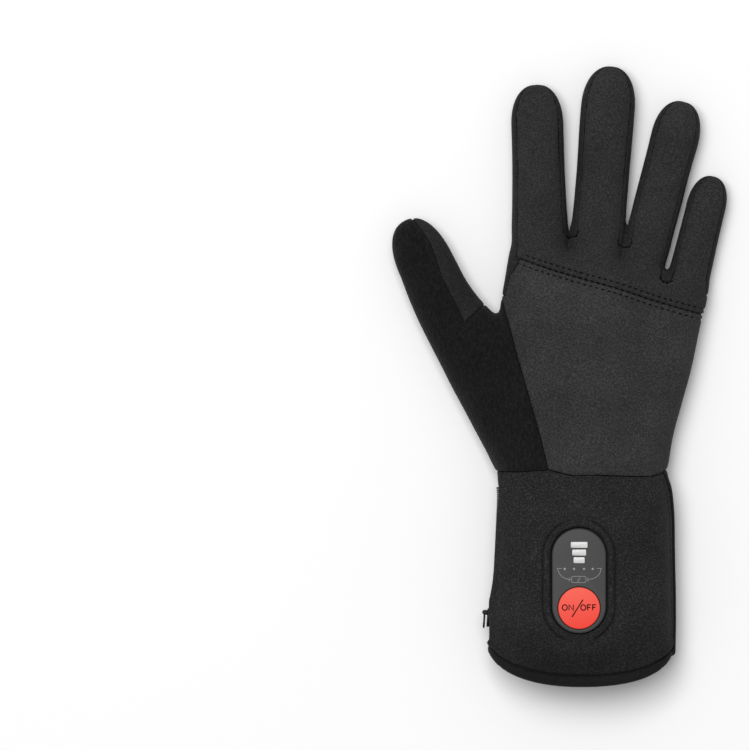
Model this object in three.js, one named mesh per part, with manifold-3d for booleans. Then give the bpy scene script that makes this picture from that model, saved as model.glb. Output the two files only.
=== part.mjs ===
// Right-hand heated glove, lying palm down on a flat surface with its back up.
// Millimetres. +X runs from the thumb to the little finger, +Y from the cuff to the fingertips, +Z up.
// The sizes below are measured from the middle of the wrist seam. The last lines move the whole glove so
// that its origin is the middle of its footprint.
import * as THREE from 'three';
import { mergeVertices } from 'three/addons/utils/BufferGeometryUtils.js';
import Module from 'manifold-3d';

const wasm = await Module();
wasm.setup();
const { Manifold, Mesh: SolidMesh } = wasm;

// Hand
const handLength = 196.3; // wrist seam to the tip of the middle finger
const palmWidth = 94; // across the knuckles
const palmDepth = 31; // filled thickness of the hand
const fingerWidth = 26;
const fingerDepth = 20;
const thumbWidth = 30;
const thumbDepth = 23;
const wristWidth = 83.5;
const wristDepth = 34.5;

// Cuff
const cuffLength = 101.8;
const cuffWidth = 88.6;
const cuffDepth = 38.6;
const hemRound = 20; // how far the hem's middle reaches beyond its corners
const bindingWidth = 5.3;
const palmEdgeShare = 0.402; // how far out the palm half's binding begins, as a share of cuffWidth
const gussetOverlapBelow = 6.4; // how far the gusset runs on behind the palm half
const gussetOverlapAbove = 4.2; // and behind the back half
const bindingRise = 0.6; // how far a binding stands proud on each side of the wall

// Cloth and clearances
const wall = 2.2;
const thinWall = 1.2; // gusset and zip tape
const seamGap = 0.3;
const pressed = 1.5; // how deep the cloth is flattened where it rests

// Heights of the long seams above the surface
const frontSeamHeight = 6;
const backSeamHeight = 15.5;
const cuffEdgeHeight = 14; // lower edge of the cuff's back half on the little-finger side
const gussetHeight = 6; // height of the slit that the gusset fills

// Strap
const strapEnd = 35; // from the middle of the cuff to the strap's free end
const strapDrop = 26; // from the wrist seam to the strap's upper edge, where it leaves the back
const strapRootWidth = 42;
const strapEndWidth = 47;
const strapSlope = 9.5; // how far its upper edge runs down towards the free end
const strapSmallCorner = 6;
const strapLargeCorner = 13;
const strapThickness = 2.5;
const strapBindingWidth = 4.6;
const strapPanelSink = 0.4; // the panel inside the binding is this much thinner
const strapRootHeight = 8; // how far up the side the full strap comes
const strapRootThickness = 1.1; // its sewn root, up to the back half's edge
const strapTaper = 3; // how much shorter the strap is at its lower corner

// Zip
const zipHeight = 17.8; // height of the line of teeth
const zipTapeWidth = 11;
const zipTeethWidth = 3.7;
const zipTeethRise = 0.5;
const zipStart = 6; // below the wrist seam
const sliderDrop = 69; // from the wrist seam to the slider's middle
const sliderLength = 9;
const sliderWidth = 6.6;
const sliderThickness = 1.2;
const lugRadius = 1.15;
const lugWidth = 0.8;
const pinRadius = 0.4;
const pivotClimb = 2.4; // from the slider's middle up to the puller's pin
const pullerLength = 8;
const pullerWidth = 3;
const pullerThickness = 0.9;
const pullerEyeRadius = 1;
const pullerClearance = 0.3;

// Controller
const faceWidth = 26;
const faceLength = 50.2;
const faceDrop = 50.8; // from the wrist seam to the middle of the face
const faceOffset = -1.9; // across, from the middle of the wrist
const faceRise = 0.8; // above the cuff's top
const housingDepth = 9;
const housingBevel = 0.9;
const weltWidth = 3.9;
const weltRise = 0.9;
const buttonRadius = 9.95;
const buttonDrop = 13; // from the middle of the face to the button
const buttonRise = 0.7;
const buttonThickness = 2.4;
const buttonTravel = 0.7;
const buttonClearance = 0.3;
const buttonBevel = 0.4;
const roundSides = 15; // on each half of a round plate
const barWidth = 8.1;
const barHeight = 2.95;
const barPitch = 3.65;
const barShrink = 0.165; // how much shorter each bar is than the one above it
const barCorner = 0.5;
const barTop = 17.2; // from the middle of the face to the first bar
const barThickness = 0.9;
const barSink = 0.7;

// Round sections are superellipses with these powers and numbers of sides.
const handPower = 2.5;
const handSides = 24;
const fingerPower = 2.3;
const fingerSides = 16;
const tipPower = 2.25;
const flatness = 0.03; // facets closer than this to one plane are merged

// The sections across the hand, from the wrist to the knuckles. leftX and rightX are shares of palmWidth,
// leftY and rightY of handLength, top of palmDepth, and waist is how high the widest line lies in it.
const handSections = [
  { leftX: -0.447, leftY: 0.062, rightX: 0.461, rightY: 0.072, top: 1.06, waist: 0.42 },
  { leftX: -0.447, leftY: 0.163, rightX: 0.51, rightY: 0.168, top: 1.03, waist: 0.42 },
  { leftX: -0.441, leftY: 0.28, rightX: 0.568, rightY: 0.27, top: 1.01, waist: 0.43 },
  { leftX: -0.42, leftY: 0.388, rightX: 0.61, rightY: 0.366, top: 0.96, waist: 0.43 },
  { leftX: -0.387, leftY: 0.484, rightX: 0.638, rightY: 0.434, top: 0.87, waist: 0.43 },
  { leftX: -0.366, leftY: 0.54, rightX: 0.638, rightY: 0.462, top: 0.77, waist: 0.43 },
  { leftX: -0.33, leftY: 0.572, rightX: 0.6, rightY: 0.48, top: 0.6, waist: 0.5 },
];

// The sections of the cuff, from the hem to the wrist. down is a share of cuffLength, left and right are
// shares of cuffWidth, top of cuffDepth, and floor of the strap's stack below the cuff.
const cuffSections = [
  { down: 1.03, left: -0.506, right: 0.502, top: 0.91, floor: 1 },
  { down: 0.835, left: -0.503, right: 0.501, top: 0.97, floor: 1 },
  { down: 0.64, left: -0.489, right: 0.5, top: 1, floor: 1 },
  { down: 0.44, left: -0.474, right: 0.499, top: 1, floor: 1 },
  { down: 0.24, left: -0.463, right: 0.497, top: 0.95, floor: 1 },
  { down: 0.1, left: -0.457, right: 0.488, top: 0.87, floor: 0.7 },
];
const cuffWaist = 0.373; // how high the cuff's widest line lies in its depth

// The fingers. Root and tip are given across as shares of palmWidth and along as shares of handLength,
// width and depth as shares of fingerWidth and fingerDepth.
const fingers = [
  { name: 'index', rootX: -0.2, rootY: 0.42, tipX: -0.233, tipY: 0.954, width: 0.975, depth: 1 },
  { name: 'middle', rootX: 0.056, rootY: 0.42, tipX: 0.153, tipY: 1, width: 1, depth: 1.03 },
  { name: 'ring', rootX: 0.264, rootY: 0.41, tipX: 0.527, tipY: 0.912, width: 0.925, depth: 0.98 },
  { name: 'little', rootX: 0.47, rootY: 0.35, tipX: 0.678, tipY: 0.73, width: 0.745, depth: 0.86 },
];
// How a finger's section changes from its root (along 0) to where its tip begins to round (along 1).
// left and right are its two half widths, as shares of half the digit's width.
const fingerProfile = [
  { along: 0, left: 0.5, right: 0.5, depth: 0.8 },
  { along: 0.2, left: 1, right: 1, depth: 1.12 },
  { along: 0.4, left: 1.07, right: 1.07, depth: 1.12 },
  { along: 0.56, left: 1.03, right: 1.03, depth: 1.04 },
  { along: 0.78, left: 1, right: 1, depth: 1 },
  { along: 1, left: 0.985, right: 0.985, depth: 0.97 },
];

// The thumb, in the same shares, with width and depth of thumbWidth and thumbDepth.
const thumb = { name: 'thumb', rootX: -0.297, rootY: 0.031, tipX: -0.905, tipY: 0.6215, width: 1, depth: 1 };
const thumbProfile = [
  { along: 0, left: 0.8, right: 1.3, depth: 0.95 },
  { along: 0.1, left: 0.93, right: 1.9, depth: 1.12 },
  { along: 0.3, left: 0.96, right: 1.95, depth: 1.14 },
  { along: 0.5, left: 1.03, right: 1.68, depth: 1.1 },
  { along: 0.63, left: 1.04, right: 1.33, depth: 1.05 },
  { along: 0.7, left: 1.03, right: 1.14, depth: 1.02 },
  { along: 0.79, left: 1.01, right: 0.96, depth: 0.98 },
  { along: 0.88, left: 0.98, right: 0.89, depth: 0.94 },
  { along: 1, left: 0.92, right: 0.9, depth: 0.9 },
];
// The rounding of a digit's tip: distances from the tip as shares of the rounded length.
const tipSteps = [0.7, 0.45, 0.25, 0.1, 0.02];
const tipRound = 0.8; // rounded length as a share of the digit's width
const digitWaist = 0.48; // how high a digit's widest line lies in its depth
const thinnest = 0.8; // the inside never takes more than this share of a digit's half width
const hemPower = 2.2;
const hemSteps = 22;

// Seams that are seen from above or below, across as shares of palmWidth, along as shares of handLength.
const thumbSeam = [
  { x: -0.411, y: 0.437 },
  { x: -0.369, y: 0.353 },
  { x: -0.32, y: 0.266 },
  { x: -0.261, y: 0.168 },
  { x: -0.212, y: 0.082 },
  { x: -0.166, y: 0 },
];
const thumbSideSeam = [
  { x: -0.885, y: 0.64 },
  { x: -0.772, y: 0.562 },
  { x: -0.718, y: 0.485 },
  { x: -0.659, y: 0.428 },
  { x: -0.601, y: 0.37 },
];
const thumbCrotch = { x: -0.487, y: 0.413 };
const thumbBaseSeam = [
  { x: -0.402, y: 0.37 },
  { x: -0.291, y: 0.3255 },
  { x: -0.207, y: 0.261 },
  { x: -0.17, y: 0.199 },
  { x: -0.174, y: 0.146 },
  { x: -0.207, y: 0.083 },
  { x: -0.272, y: 0.03 },
  { x: -0.34, y: -0.01 },
];
const knuckleSeam = [
  { x: -0.45, y: 0.556 },
  { x: -0.309, y: 0.525 },
  { x: -0.007, y: 0.479 },
  { x: 0.173, y: 0.455 },
  { x: 0.388, y: 0.421 },
  { x: 0.7, y: 0.382 },
];
const fleeceTurn = 6.5; // from the thumb's middle line to where its back panel ends on the palm side
const touchPadLength = 35;
const indexPadShare = 0.56; // how far across the index pad reaches, as a share of the finger's width
const sideWallStart = 0.437; // where the side strips begin, level with the thumb seam's upper end

// Helpers

const superRound = (value, power) => Math.sign(value) * Math.abs(value) ** (2 / power);
const across = (point) => new THREE.Vector2(point.x * palmWidth, point.y * handLength);

// One ring of points. The section stands on the line from left to right, and the part of it that would
// reach below the floor is flattened there.
function ringOf(section, inset, sides, power) {
  const direction = section.right.clone().sub(section.left).normalize();
  const left = section.left.clone().addScaledVector(direction, inset);
  const right = section.right.clone().addScaledVector(direction, -inset);
  const top = section.top - inset;
  const floor = section.floor + inset;
  const ring = [];
  for (let i = 0; i < sides; i += 1) {
    const angle = (2 * Math.PI * i) / sides;
    const wide = superRound(Math.cos(angle), power);
    const high = superRound(Math.sin(angle), power);
    const point = left.clone().lerp(right, (wide + 1) / 2);
    const reach = high > 0 ? top - section.waist : section.waist - floor + section.pressed;
    ring.push(new THREE.Vector3(point.x, point.y, Math.max(floor, section.waist + reach * high)));
  }
  return ring;
}

// A closed mesh through rings that have the same number of points, from back (-Y) to front.
function loft(rings) {
  const sides = rings[0].length;
  const points = rings.flat();
  const faces = [];
  for (let k = 0; k + 1 < rings.length; k += 1) {
    for (let i = 0; i < sides; i += 1) {
      const a = k * sides + i;
      const b = k * sides + ((i + 1) % sides);
      faces.push(a, a + sides, b, b, a + sides, b + sides);
    }
  }
  for (const [k, turn] of [[0, 1], [rings.length - 1, -1]]) {
    const centre = rings[k].reduce((sum, p) => sum.add(p), new THREE.Vector3()).divideScalar(sides);
    points.push(centre);
    for (let i = 0; i < sides; i += 1) {
      const a = k * sides + i;
      const b = k * sides + ((i + 1) % sides);
      faces.push(points.length - 1, turn > 0 ? a : b, turn > 0 ? b : a);
    }
  }
  const geometry = new THREE.BufferGeometry();
  geometry.setAttribute('position', new THREE.Float32BufferAttribute(points.flatMap((p) => p.toArray()), 3));
  geometry.setIndex(faces);
  return geometry;
}

function toSolid(geometry) {
  const bare = geometry.clone();
  bare.deleteAttribute('normal');
  bare.deleteAttribute('uv');
  const merged = mergeVertices(bare, 1e-4);
  const index = merged.index.array;
  const faces = [];
  for (let i = 0; i < index.length; i += 3) {
    const [a, b, c] = [index[i], index[i + 1], index[i + 2]];
    if (a !== b && b !== c && a !== c) faces.push(a, b, c);
  }
  const vertProperties = new Float32Array(merged.attributes.position.array);
  return new Manifold(new SolidMesh({ numProp: 3, vertProperties, triVerts: new Uint32Array(faces) }));
}

function toGeometry(solid) {
  const mesh = solid.getMesh();
  const geometry = new THREE.BufferGeometry();
  geometry.setAttribute('position', new THREE.BufferAttribute(mesh.vertProperties, 3));
  geometry.setIndex(new THREE.BufferAttribute(mesh.triVerts, 1));
  geometry.computeVertexNormals();
  return geometry;
}

const unite = (solids) => solids.reduce((sum, solid) => sum.add(solid));
const cut = (solid, ...tools) => tools.reduce((rest, tool) => rest.subtract(tool), solid);
const within = (solid, ...regions) => regions.reduce((rest, region) => rest.intersect(region), solid);
// The largest piece, without the crumbs that a cut beside a curved wall can leave, and with faces that
// lie in one plane merged.
const largest = (solid) =>
  solid.decompose().sort((a, b) => b.volume() - a.volume())[0].asOriginal().simplify(flatness);

function block(low, high) {
  const size = high.map((value, k) => value - low[k]);
  const box = new THREE.BoxGeometry(...size);
  box.translate(...low.map((value, k) => value + size[k] / 2));
  return toSolid(box);
}

function prism(points, low, high) {
  const shape = new THREE.Shape(points);
  const body = new THREE.ExtrudeGeometry(shape, { depth: high - low, bevelEnabled: false, curveSegments: 6 });
  body.translate(0, 0, low);
  return toSolid(body);
}

// A thin upright wall along a line, which parts two panels by the seam gap.
function knife(points, low, high) {
  const sides = points.map((point, i) => {
    const before = points[Math.max(0, i - 1)];
    const after = points[Math.min(points.length - 1, i + 1)];
    const along = after.clone().sub(before).normalize();
    return new THREE.Vector2(-along.y, along.x).multiplyScalar(seamGap / 2);
  });
  const outline = points.map((point, i) => point.clone().add(sides[i]));
  outline.push(...points.map((point, i) => point.clone().sub(sides[i])).reverse());
  return prism(outline, low, high);
}

const reach = 2 * (handLength + cuffLength);
const headroom = 2 * (cuffDepth + palmDepth);
const underfoot = -palmDepth;
const slab = (low, high) => block([-reach, -reach, low], [reach, reach, high]);
const upright = (points) => prism(points, underfoot, headroom);

// The filled form of hand and cuff

const strapLift = bindingRise + seamGap; // from the cuff's face to the strap's inner face
const strapStack = strapLift + strapThickness;

function cuffSectionList() {
  return cuffSections.map((row) => {
    const floor = row.floor * strapStack;
    const y = -row.down * cuffLength;
    return {
      left: new THREE.Vector2(row.left * cuffWidth, y),
      right: new THREE.Vector2(row.right * cuffWidth, y),
      top: strapStack + row.top * cuffDepth,
      waist: floor + cuffWaist * cuffDepth,
      floor,
      pressed,
    };
  });
}

function handSectionList() {
  return handSections.map((row) => ({
    left: new THREE.Vector2(row.leftX * palmWidth, row.leftY * handLength),
    right: new THREE.Vector2(row.rightX * palmWidth, row.rightY * handLength),
    top: row.top * palmDepth,
    waist: row.waist * row.top * palmDepth,
    floor: 0,
    pressed,
  }));
}

const wristSection = {
  left: new THREE.Vector2(-wristWidth / 2, 0),
  right: new THREE.Vector2(wristWidth / 2, 0),
  top: wristDepth,
  waist: 0.43 * wristDepth,
  floor: strapStack / 3,
  pressed,
};

function trunk(inset) {
  const sections = [...cuffSectionList(), wristSection, ...handSectionList()];
  const rings = sections.map((section) => ringOf(section, inset, handSides, handPower));
  return toSolid(loft(rings));
}

function digitFrame(row) {
  const root = across({ x: row.rootX, y: row.rootY });
  const tip = across({ x: row.tipX, y: row.tipY });
  const direction = tip.clone().sub(root).normalize();
  const side = new THREE.Vector2(direction.y, -direction.x);
  const length = root.distanceTo(tip);
  const at = (along, right) => root.clone().addScaledVector(direction, along).addScaledVector(side, right);
  return { at, length };
}

function digit(row, profile, fullWidth, fullDepth, inset) {
  const { at, length } = digitFrame(row);
  const half = (row.width * fullWidth) / 2;
  const depth = row.depth * fullDepth;
  const rounded = 2 * tipRound * half;
  const straight = length - rounded;
  const steps = profile.map((p) => ({ ...p, along: p.along * straight, round: 1 }));
  const last = profile[profile.length - 1];
  for (const share of tipSteps) {
    const round = (1 - (1 - share) ** tipPower) ** (1 / tipPower);
    steps.push({ ...last, along: length - share * rounded, round });
  }
  const waist = digitWaist * depth;
  const rings = steps.map((step) => {
    const along = step.along * (1 - inset / length);
    const thin = Math.min(inset, thinnest * step.round * half);
    const section = {
      left: at(along, -step.left * half * step.round),
      right: at(along, step.right * half * step.round),
      top: waist + (step.depth * depth - waist) * step.round,
      waist,
      floor: 0,
      pressed: (waist + pressed) * step.round - waist,
    };
    return ringOf(section, thin, fingerSides, fingerPower);
  });
  return toSolid(loft(rings));
}

function form(inset) {
  const solids = fingers.map((row) => digit(row, fingerProfile, fingerWidth, fingerDepth, inset));
  return unite([trunk(inset), ...solids, digit(thumb, thumbProfile, thumbWidth, thumbDepth, inset)]);
}

// The outline of the cuff's end, moved up by lift.
function hemOutline(lift) {
  const half = cuffWidth / 2 + 1;
  const straight = -(cuffLength - hemRound) + lift;
  const points = [new THREE.Vector2(half, hemRound), new THREE.Vector2(-half, hemRound)];
  for (let i = 0; i <= hemSteps; i += 1) {
    const angle = Math.PI + (Math.PI * i) / hemSteps;
    const x = half * superRound(Math.cos(angle), hemPower);
    points.push(new THREE.Vector2(x, straight + hemRound * superRound(Math.sin(angle), hemPower)));
  }
  return points;
}

// The cloth: the filled form with its inside taken out, open at the hem

const aboveWrist = block([-reach, seamGap / 2, underfoot], [reach, reach, headroom]);
const handShell = cut(form(0), form(wall)).intersect(aboveWrist);
const belowWrist = block([-reach, -reach, underfoot], [reach, -seamGap / 2, headroom]);
const cuffEnd = upright(hemOutline(0));
const cuffLayer = (outside, inside) => within(cut(trunk(outside), trunk(inside)), belowWrist, cuffEnd);

// Panels of the hand

const lower = slab(underfoot, frontSeamHeight - seamGap / 2);
const above = slab(frontSeamHeight + seamGap / 2, headroom);
const middle = slab(frontSeamHeight + seamGap / 2, backSeamHeight - seamGap / 2);
const upper = slab(backSeamHeight + seamGap / 2, headroom);
const line = (points) => points.map(across);
const seamKnife = (points) => knife(points, underfoot, headroom);
const far = reach / palmWidth;
const overCrotch = { x: thumbCrotch.x, y: 0.8 };
const besideSeam = { x: thumbCrotch.x, y: thumbSeam[0].y };

const thumbLine = line([overCrotch, besideSeam, ...thumbSeam]);
const thumbRegion = upright([...thumbLine, ...line([{ x: -far, y: 0 }, { x: -far, y: 0.8 }])]);
const thumbKnife = seamKnife(thumbLine);
const thumbSideLine = line([...thumbSideSeam, thumbCrotch]);
const thumbSideRegion = upright([...thumbSideLine, ...line([overCrotch, { x: thumbSideSeam[0].x, y: 0.8 }])]);
const thumbSideKnife = seamKnife(thumbSideLine);
const thumbBaseLine = line([overCrotch, thumbCrotch, ...thumbBaseSeam]);
const thumbBaseRegion = upright([...thumbBaseLine, ...line([{ x: -far, y: -0.01 }, { x: -far, y: 0.8 }])]);
const thumbBaseKnife = seamKnife(thumbBaseLine);

const knuckleLine = line(knuckleSeam);
const knuckleRegion = upright([...knuckleLine, ...line([{ x: far, y: 2 }, { x: -far, y: 2 }])]);
const knuckleKnife = seamKnife(knuckleLine);
const sideWallY = sideWallStart * handLength;
const aboveSides = block([-reach, sideWallY + seamGap / 2, underfoot], [reach, reach, headroom]);
const belowSides = block([-reach, -reach, underfoot], [reach, sideWallY - seamGap / 2, headroom]);
const backHeights = upper.add(above.intersect(belowSides));
const backs = within(cut(handShell, thumbRegion, thumbKnife, knuckleKnife), backHeights);

// A strip across a digit, from one distance along it to another.
function acrossDigit(row, from, to, left, right) {
  const { at } = digitFrame(row);
  return upright([at(from, left), at(from, right), at(to, right), at(to, left)]);
}

const thumbLength = digitFrame(thumb).length;
const thumbPadStart = thumbLength - touchPadLength;
const thumbPad = acrossDigit(thumb, thumbPadStart + seamGap / 2, 2 * thumbLength, -reach, reach);
const thumbBelowPad = acrossDigit(thumb, -reach, thumbPadStart - seamGap / 2, -reach, reach);
const fleece = acrossDigit(thumb, -reach, thumbPadStart - seamGap / 2, -reach, -fleeceTurn - seamGap / 2);
const besideFleece = acrossDigit(thumb, -reach, 2 * thumbLength, -fleeceTurn + seamGap / 2, reach);
const indexLength = digitFrame(fingers[0]).length;
const indexPadStart = indexLength - touchPadLength;
const indexReach = indexPadShare * fingers[0].width * fingerWidth;
const indexPad = (start) => acrossDigit(fingers[0], start, 2 * indexLength, -reach, indexReach);

const thumbFront = within(handShell, lower, thumbBaseRegion);
const panels = {
  finger_backs: within(backs, knuckleRegion),
  hand_back: cut(backs, knuckleRegion),
  side_walls: cut(within(handShell, middle, aboveSides), thumbRegion, thumbKnife),
  palm_panel: cut(
    within(handShell, lower),
    thumbBaseRegion,
    thumbBaseKnife,
    indexPad(indexPadStart - seamGap / 2),
  ),
  index_touch_pad: cut(within(handShell, lower, indexPad(indexPadStart + seamGap / 2)), thumbBaseRegion),
  thumb_back: cut(
    within(handShell, thumbRegion, above.add(within(fleece, slab(underfoot, frontSeamHeight + 1)))),
    thumbKnife,
    thumbSideRegion,
    thumbSideKnife,
  ),
  thumb_side: cut(within(handShell, above, thumbSideRegion), thumbSideKnife),
  thumb_front: cut(within(thumbFront, thumbBelowPad, besideFleece), thumbBaseKnife),
  thumb_touch_pad: within(thumbFront, thumbPad),
};

// Cuff

const towards = (side, low, high) =>
  (side > 0 ? block([0, -reach, low], [reach, reach, high]) : block([-reach, -reach, low], [0, reach, high]));
const cuffBack = (zipEdge) => towards(1, cuffEdgeHeight, headroom).add(towards(-1, zipEdge, headroom));
const slitFloor = cuffEdgeHeight - gussetHeight;
const cuffPalm = (zipEdge) => towards(1, underfoot, slitFloor).add(towards(-1, underfoot, zipEdge));
const tapeTop = zipHeight + zipTapeWidth / 2;
const tapeBottom = zipHeight - zipTapeWidth / 2;
const insideHem = upright(hemOutline(bindingWidth));
const insideHemClear = upright(hemOutline(bindingWidth + seamGap));
const bound = cuffLayer(-bindingRise, wall + bindingRise);
const plain = cuffLayer(0, wall);
const palmEdge = palmEdgeShare * cuffWidth; // inner line of the palm half's binding
const backEdgeBand = towards(1, cuffEdgeHeight, cuffEdgeHeight + bindingWidth);
const backEdgeClear = towards(1, underfoot, cuffEdgeHeight + bindingWidth + seamGap);
const palmEdgeBand = block([palmEdge, -reach, underfoot], [reach, reach, slitFloor]);
const palmEdgeClear = block([palmEdge - seamGap, -reach, underfoot], [reach, reach, headroom]);

// The window's outline, grown by grow, in the cuff's frame.
function stadium(grow) {
  const radius = faceWidth / 2 + grow;
  const reachUp = (faceLength - faceWidth) / 2;
  const shape = new THREE.Shape();
  shape.absarc(0, reachUp, radius, 0, Math.PI, false);
  shape.absarc(0, -reachUp, radius, Math.PI, 2 * Math.PI, false);
  shape.closePath();
  return shape;
}

function stadiumPrism(grow) {
  const options = { depth: headroom, bevelEnabled: false, curveSegments: 12 };
  const body = new THREE.ExtrudeGeometry(stadium(grow), options);
  body.translate(faceOffset, -faceDrop, cuffEdgeHeight + wall);
  return toSolid(body);
}

const windowHole = stadiumPrism(seamGap + weltWidth + seamGap);
const weltRing = cut(stadiumPrism(seamGap + weltWidth), stadiumPrism(seamGap));
const gussetSpan = towards(1, slitFloor - gussetOverlapBelow, cuffEdgeHeight + gussetOverlapAbove);
const tapeSpan = towards(-1, tapeBottom + seamGap, tapeTop - seamGap);
const teethBottom = zipHeight - zipTeethWidth / 2;
const teethTop = zipHeight + zipTeethWidth / 2;
const teethSpan = block([-reach, -reach, teethBottom], [0, -zipStart, teethTop]);
const gussetFace = wall + bindingRise + seamGap;
const tapeFace = zipTeethRise + seamGap;
const hemBand = cut(cuffEnd, insideHem);
const backBand = hemBand.add(within(cuffEnd, backEdgeBand));
const palmBand = hemBand.add(within(cuffEnd, palmEdgeBand));

const cuffParts = {
  cuff_back: cut(within(plain, cuffBack(tapeTop), insideHemClear), windowHole, backEdgeClear),
  cuff_palm: cut(within(plain, cuffPalm(tapeBottom), insideHemClear), palmEdgeClear),
  cuff_back_binding: within(bound, cuffBack(zipHeight + seamGap / 2), backBand),
  cuff_palm_binding: within(bound, cuffPalm(zipHeight - seamGap / 2), palmBand),
  cuff_gusset: within(cuffLayer(gussetFace, gussetFace + thinWall), gussetSpan),
  zip_tape: within(cuffLayer(tapeFace, tapeFace + thinWall), tapeSpan, insideHemClear),
  zip_teeth: within(cuffLayer(-zipTeethRise, zipTeethRise), teethSpan, insideHemClear),
  window_welt: within(cuffLayer(-weltRise, wall), weltRing),
};

// Strap

function strapOutline(inset) {
  const top = -strapDrop - inset;
  const bottom = -strapDrop - strapRootWidth + inset;
  const root = cuffWidth;
  const end = -strapEnd + inset;
  const endTop = top - strapSlope;
  const endBottom = -strapDrop - strapSlope - strapEndWidth + inset;
  const small = strapSmallCorner - inset / 2;
  const large = strapLargeCorner - inset / 2;
  const shape = new THREE.Shape();
  shape.moveTo(root, top);
  shape.lineTo(end + small, endTop);
  shape.quadraticCurveTo(end, endTop, end, endTop - small);
  shape.lineTo(end + strapTaper, endBottom + large);
  shape.quadraticCurveTo(end + strapTaper, endBottom, end + strapTaper + large, endBottom);
  shape.lineTo(root, bottom);
  return shape.getPoints(5);
}

const strapRegion = upright(strapOutline(0)).intersect(slab(underfoot, strapRootHeight));
const strapInside = upright(strapOutline(strapBindingWidth));
const strapInsideClear = upright(strapOutline(strapBindingWidth + seamGap));
const rootRegion = upright(strapOutline(strapBindingWidth + seamGap))
  .intersect(towards(1, strapRootHeight - 1, cuffEdgeHeight - seamGap));
const strapPanel = cuffLayer(-strapLift - strapThickness + strapPanelSink, -strapLift);
const strapParts = {
  wrist_strap: within(strapPanel, strapRegion, strapInsideClear)
    .add(within(cuffLayer(-strapLift - strapRootThickness, -strapLift), rootRegion)),
  strap_binding: cut(within(cuffLayer(-strapLift - strapThickness, -strapLift), strapRegion), strapInside),
};

// Controller, with its face level with z = 0 of its own group

function plate(shape, depth, bevel, segments) {
  const options = {
    depth: depth - 2 * bevel,
    bevelEnabled: bevel > 0,
    bevelThickness: bevel,
    bevelSize: bevel,
    bevelOffset: -bevel,
    bevelSegments: 2,
    curveSegments: segments,
  };
  const body = new THREE.ExtrudeGeometry(shape, options);
  body.translate(0, 0, bevel - depth);
  return body;
}

function circle(radius) {
  const shape = new THREE.Shape();
  shape.absarc(0, 0, radius, 0, 2 * Math.PI, false);
  return shape;
}

function roundedBox(width, height, radius) {
  const [w, h] = [width / 2 - radius, height / 2 - radius];
  const shape = new THREE.Shape();
  shape.absarc(w, h, radius, 0, Math.PI / 2, false);
  shape.absarc(-w, h, radius, Math.PI / 2, Math.PI, false);
  shape.absarc(-w, -h, radius, Math.PI, 1.5 * Math.PI, false);
  shape.absarc(w, -h, radius, 1.5 * Math.PI, 2 * Math.PI, false);
  shape.closePath();
  return shape;
}

const bars = [0, 1, 2].map((k) => ({
  width: barWidth * (1 - barShrink * k),
  y: barTop - barPitch * k,
}));
const barShape = (bar, grow) => roundedBox(bar.width + 2 * grow, barHeight + 2 * grow, barCorner + grow);
const pocketDepth = buttonThickness - buttonRise + buttonTravel + buttonClearance;

function sunk(geometry, y, lift) {
  geometry.translate(0, y, lift);
  return toSolid(geometry);
}

const housing = cut(
  toSolid(plate(stadium(0), housingDepth, housingBevel, 9)),
  sunk(plate(circle(buttonRadius + buttonClearance), pocketDepth + 1, 0, roundSides), -buttonDrop, 1),
  ...bars.map((bar) => sunk(plate(barShape(bar, seamGap), barSink + seamGap + 1, 0, 2), bar.y, 1)),
);
const buttonPlate = plate(circle(buttonRadius), buttonThickness, buttonBevel, roundSides);
const button = sunk(buttonPlate, -buttonDrop, buttonRise);
const barSolids = bars.map((bar) => {
  const lens = plate(barShape(bar, 0), barThickness, 0, 2);
  return sunk(lens, bar.y, barThickness - barSink);
});

// Zip slider and puller, in a group whose z = 0 is the slider's inner face and whose y points up the zip

const pinHeight = sliderThickness + pullerClearance + pullerEyeRadius;
const lugSide = pullerWidth / 2 + pullerClearance;

// A rod along x, through y = pivotClimb at height z.
function crossRod(radius, from, to, sides) {
  const rod = new THREE.CylinderGeometry(radius, radius, to - from, sides);
  rod.rotateZ(Math.PI / 2);
  rod.translate((from + to) / 2, pivotClimb, pinHeight);
  return toSolid(rod);
}

function sliderBody() {
  const shape = new THREE.Shape();
  const [w, h] = [sliderWidth / 2, sliderLength / 2];
  shape.moveTo(-0.6 * w, -h);
  shape.lineTo(0.6 * w, -h);
  shape.lineTo(w, -0.3 * h);
  shape.lineTo(w, 0.75 * h);
  shape.lineTo(0.6 * w, h);
  shape.lineTo(-0.6 * w, h);
  shape.lineTo(-w, 0.75 * h);
  shape.lineTo(-w, -0.3 * h);
  const body = plate(shape, sliderThickness, 0, 1);
  body.translate(0, 0, sliderThickness);
  const lugs = [-1, 1].map((side) => {
    const inner = side * lugSide;
    const outer = side * (lugSide + lugWidth);
    const [from, to] = [Math.min(inner, outer), Math.max(inner, outer)];
    const foot = block([from, pivotClimb - lugRadius, 0.1], [to, pivotClimb + lugRadius, pinHeight]);
    return crossRod(lugRadius, from, to, 12).add(foot);
  });
  const pin = crossRod(pinRadius, -lugSide - lugWidth / 2, lugSide + lugWidth / 2, 10);
  return unite([toSolid(body), ...lugs, pin]);
}

function pullerBody() {
  const eye = crossRod(pullerEyeRadius, -pullerWidth / 2, pullerWidth / 2, 14);
  const shape = new THREE.Shape();
  const w = pullerWidth / 2;
  const end = pivotClimb - pullerLength;
  shape.moveTo(-w, pivotClimb);
  shape.lineTo(-0.7 * w, end + w);
  shape.absarc(0, end + w, 0.7 * w, Math.PI, 2 * Math.PI, false);
  shape.lineTo(w, pivotClimb);
  const blade = plate(shape, pullerThickness, 0, 6);
  blade.translate(0, 0, pinHeight + pullerThickness / 2);
  const hole = crossRod(pinRadius + pullerClearance, -pullerWidth, pullerWidth, 12);
  return cut(eye.add(toSolid(blade)), hole);
}

// Finishes

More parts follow.
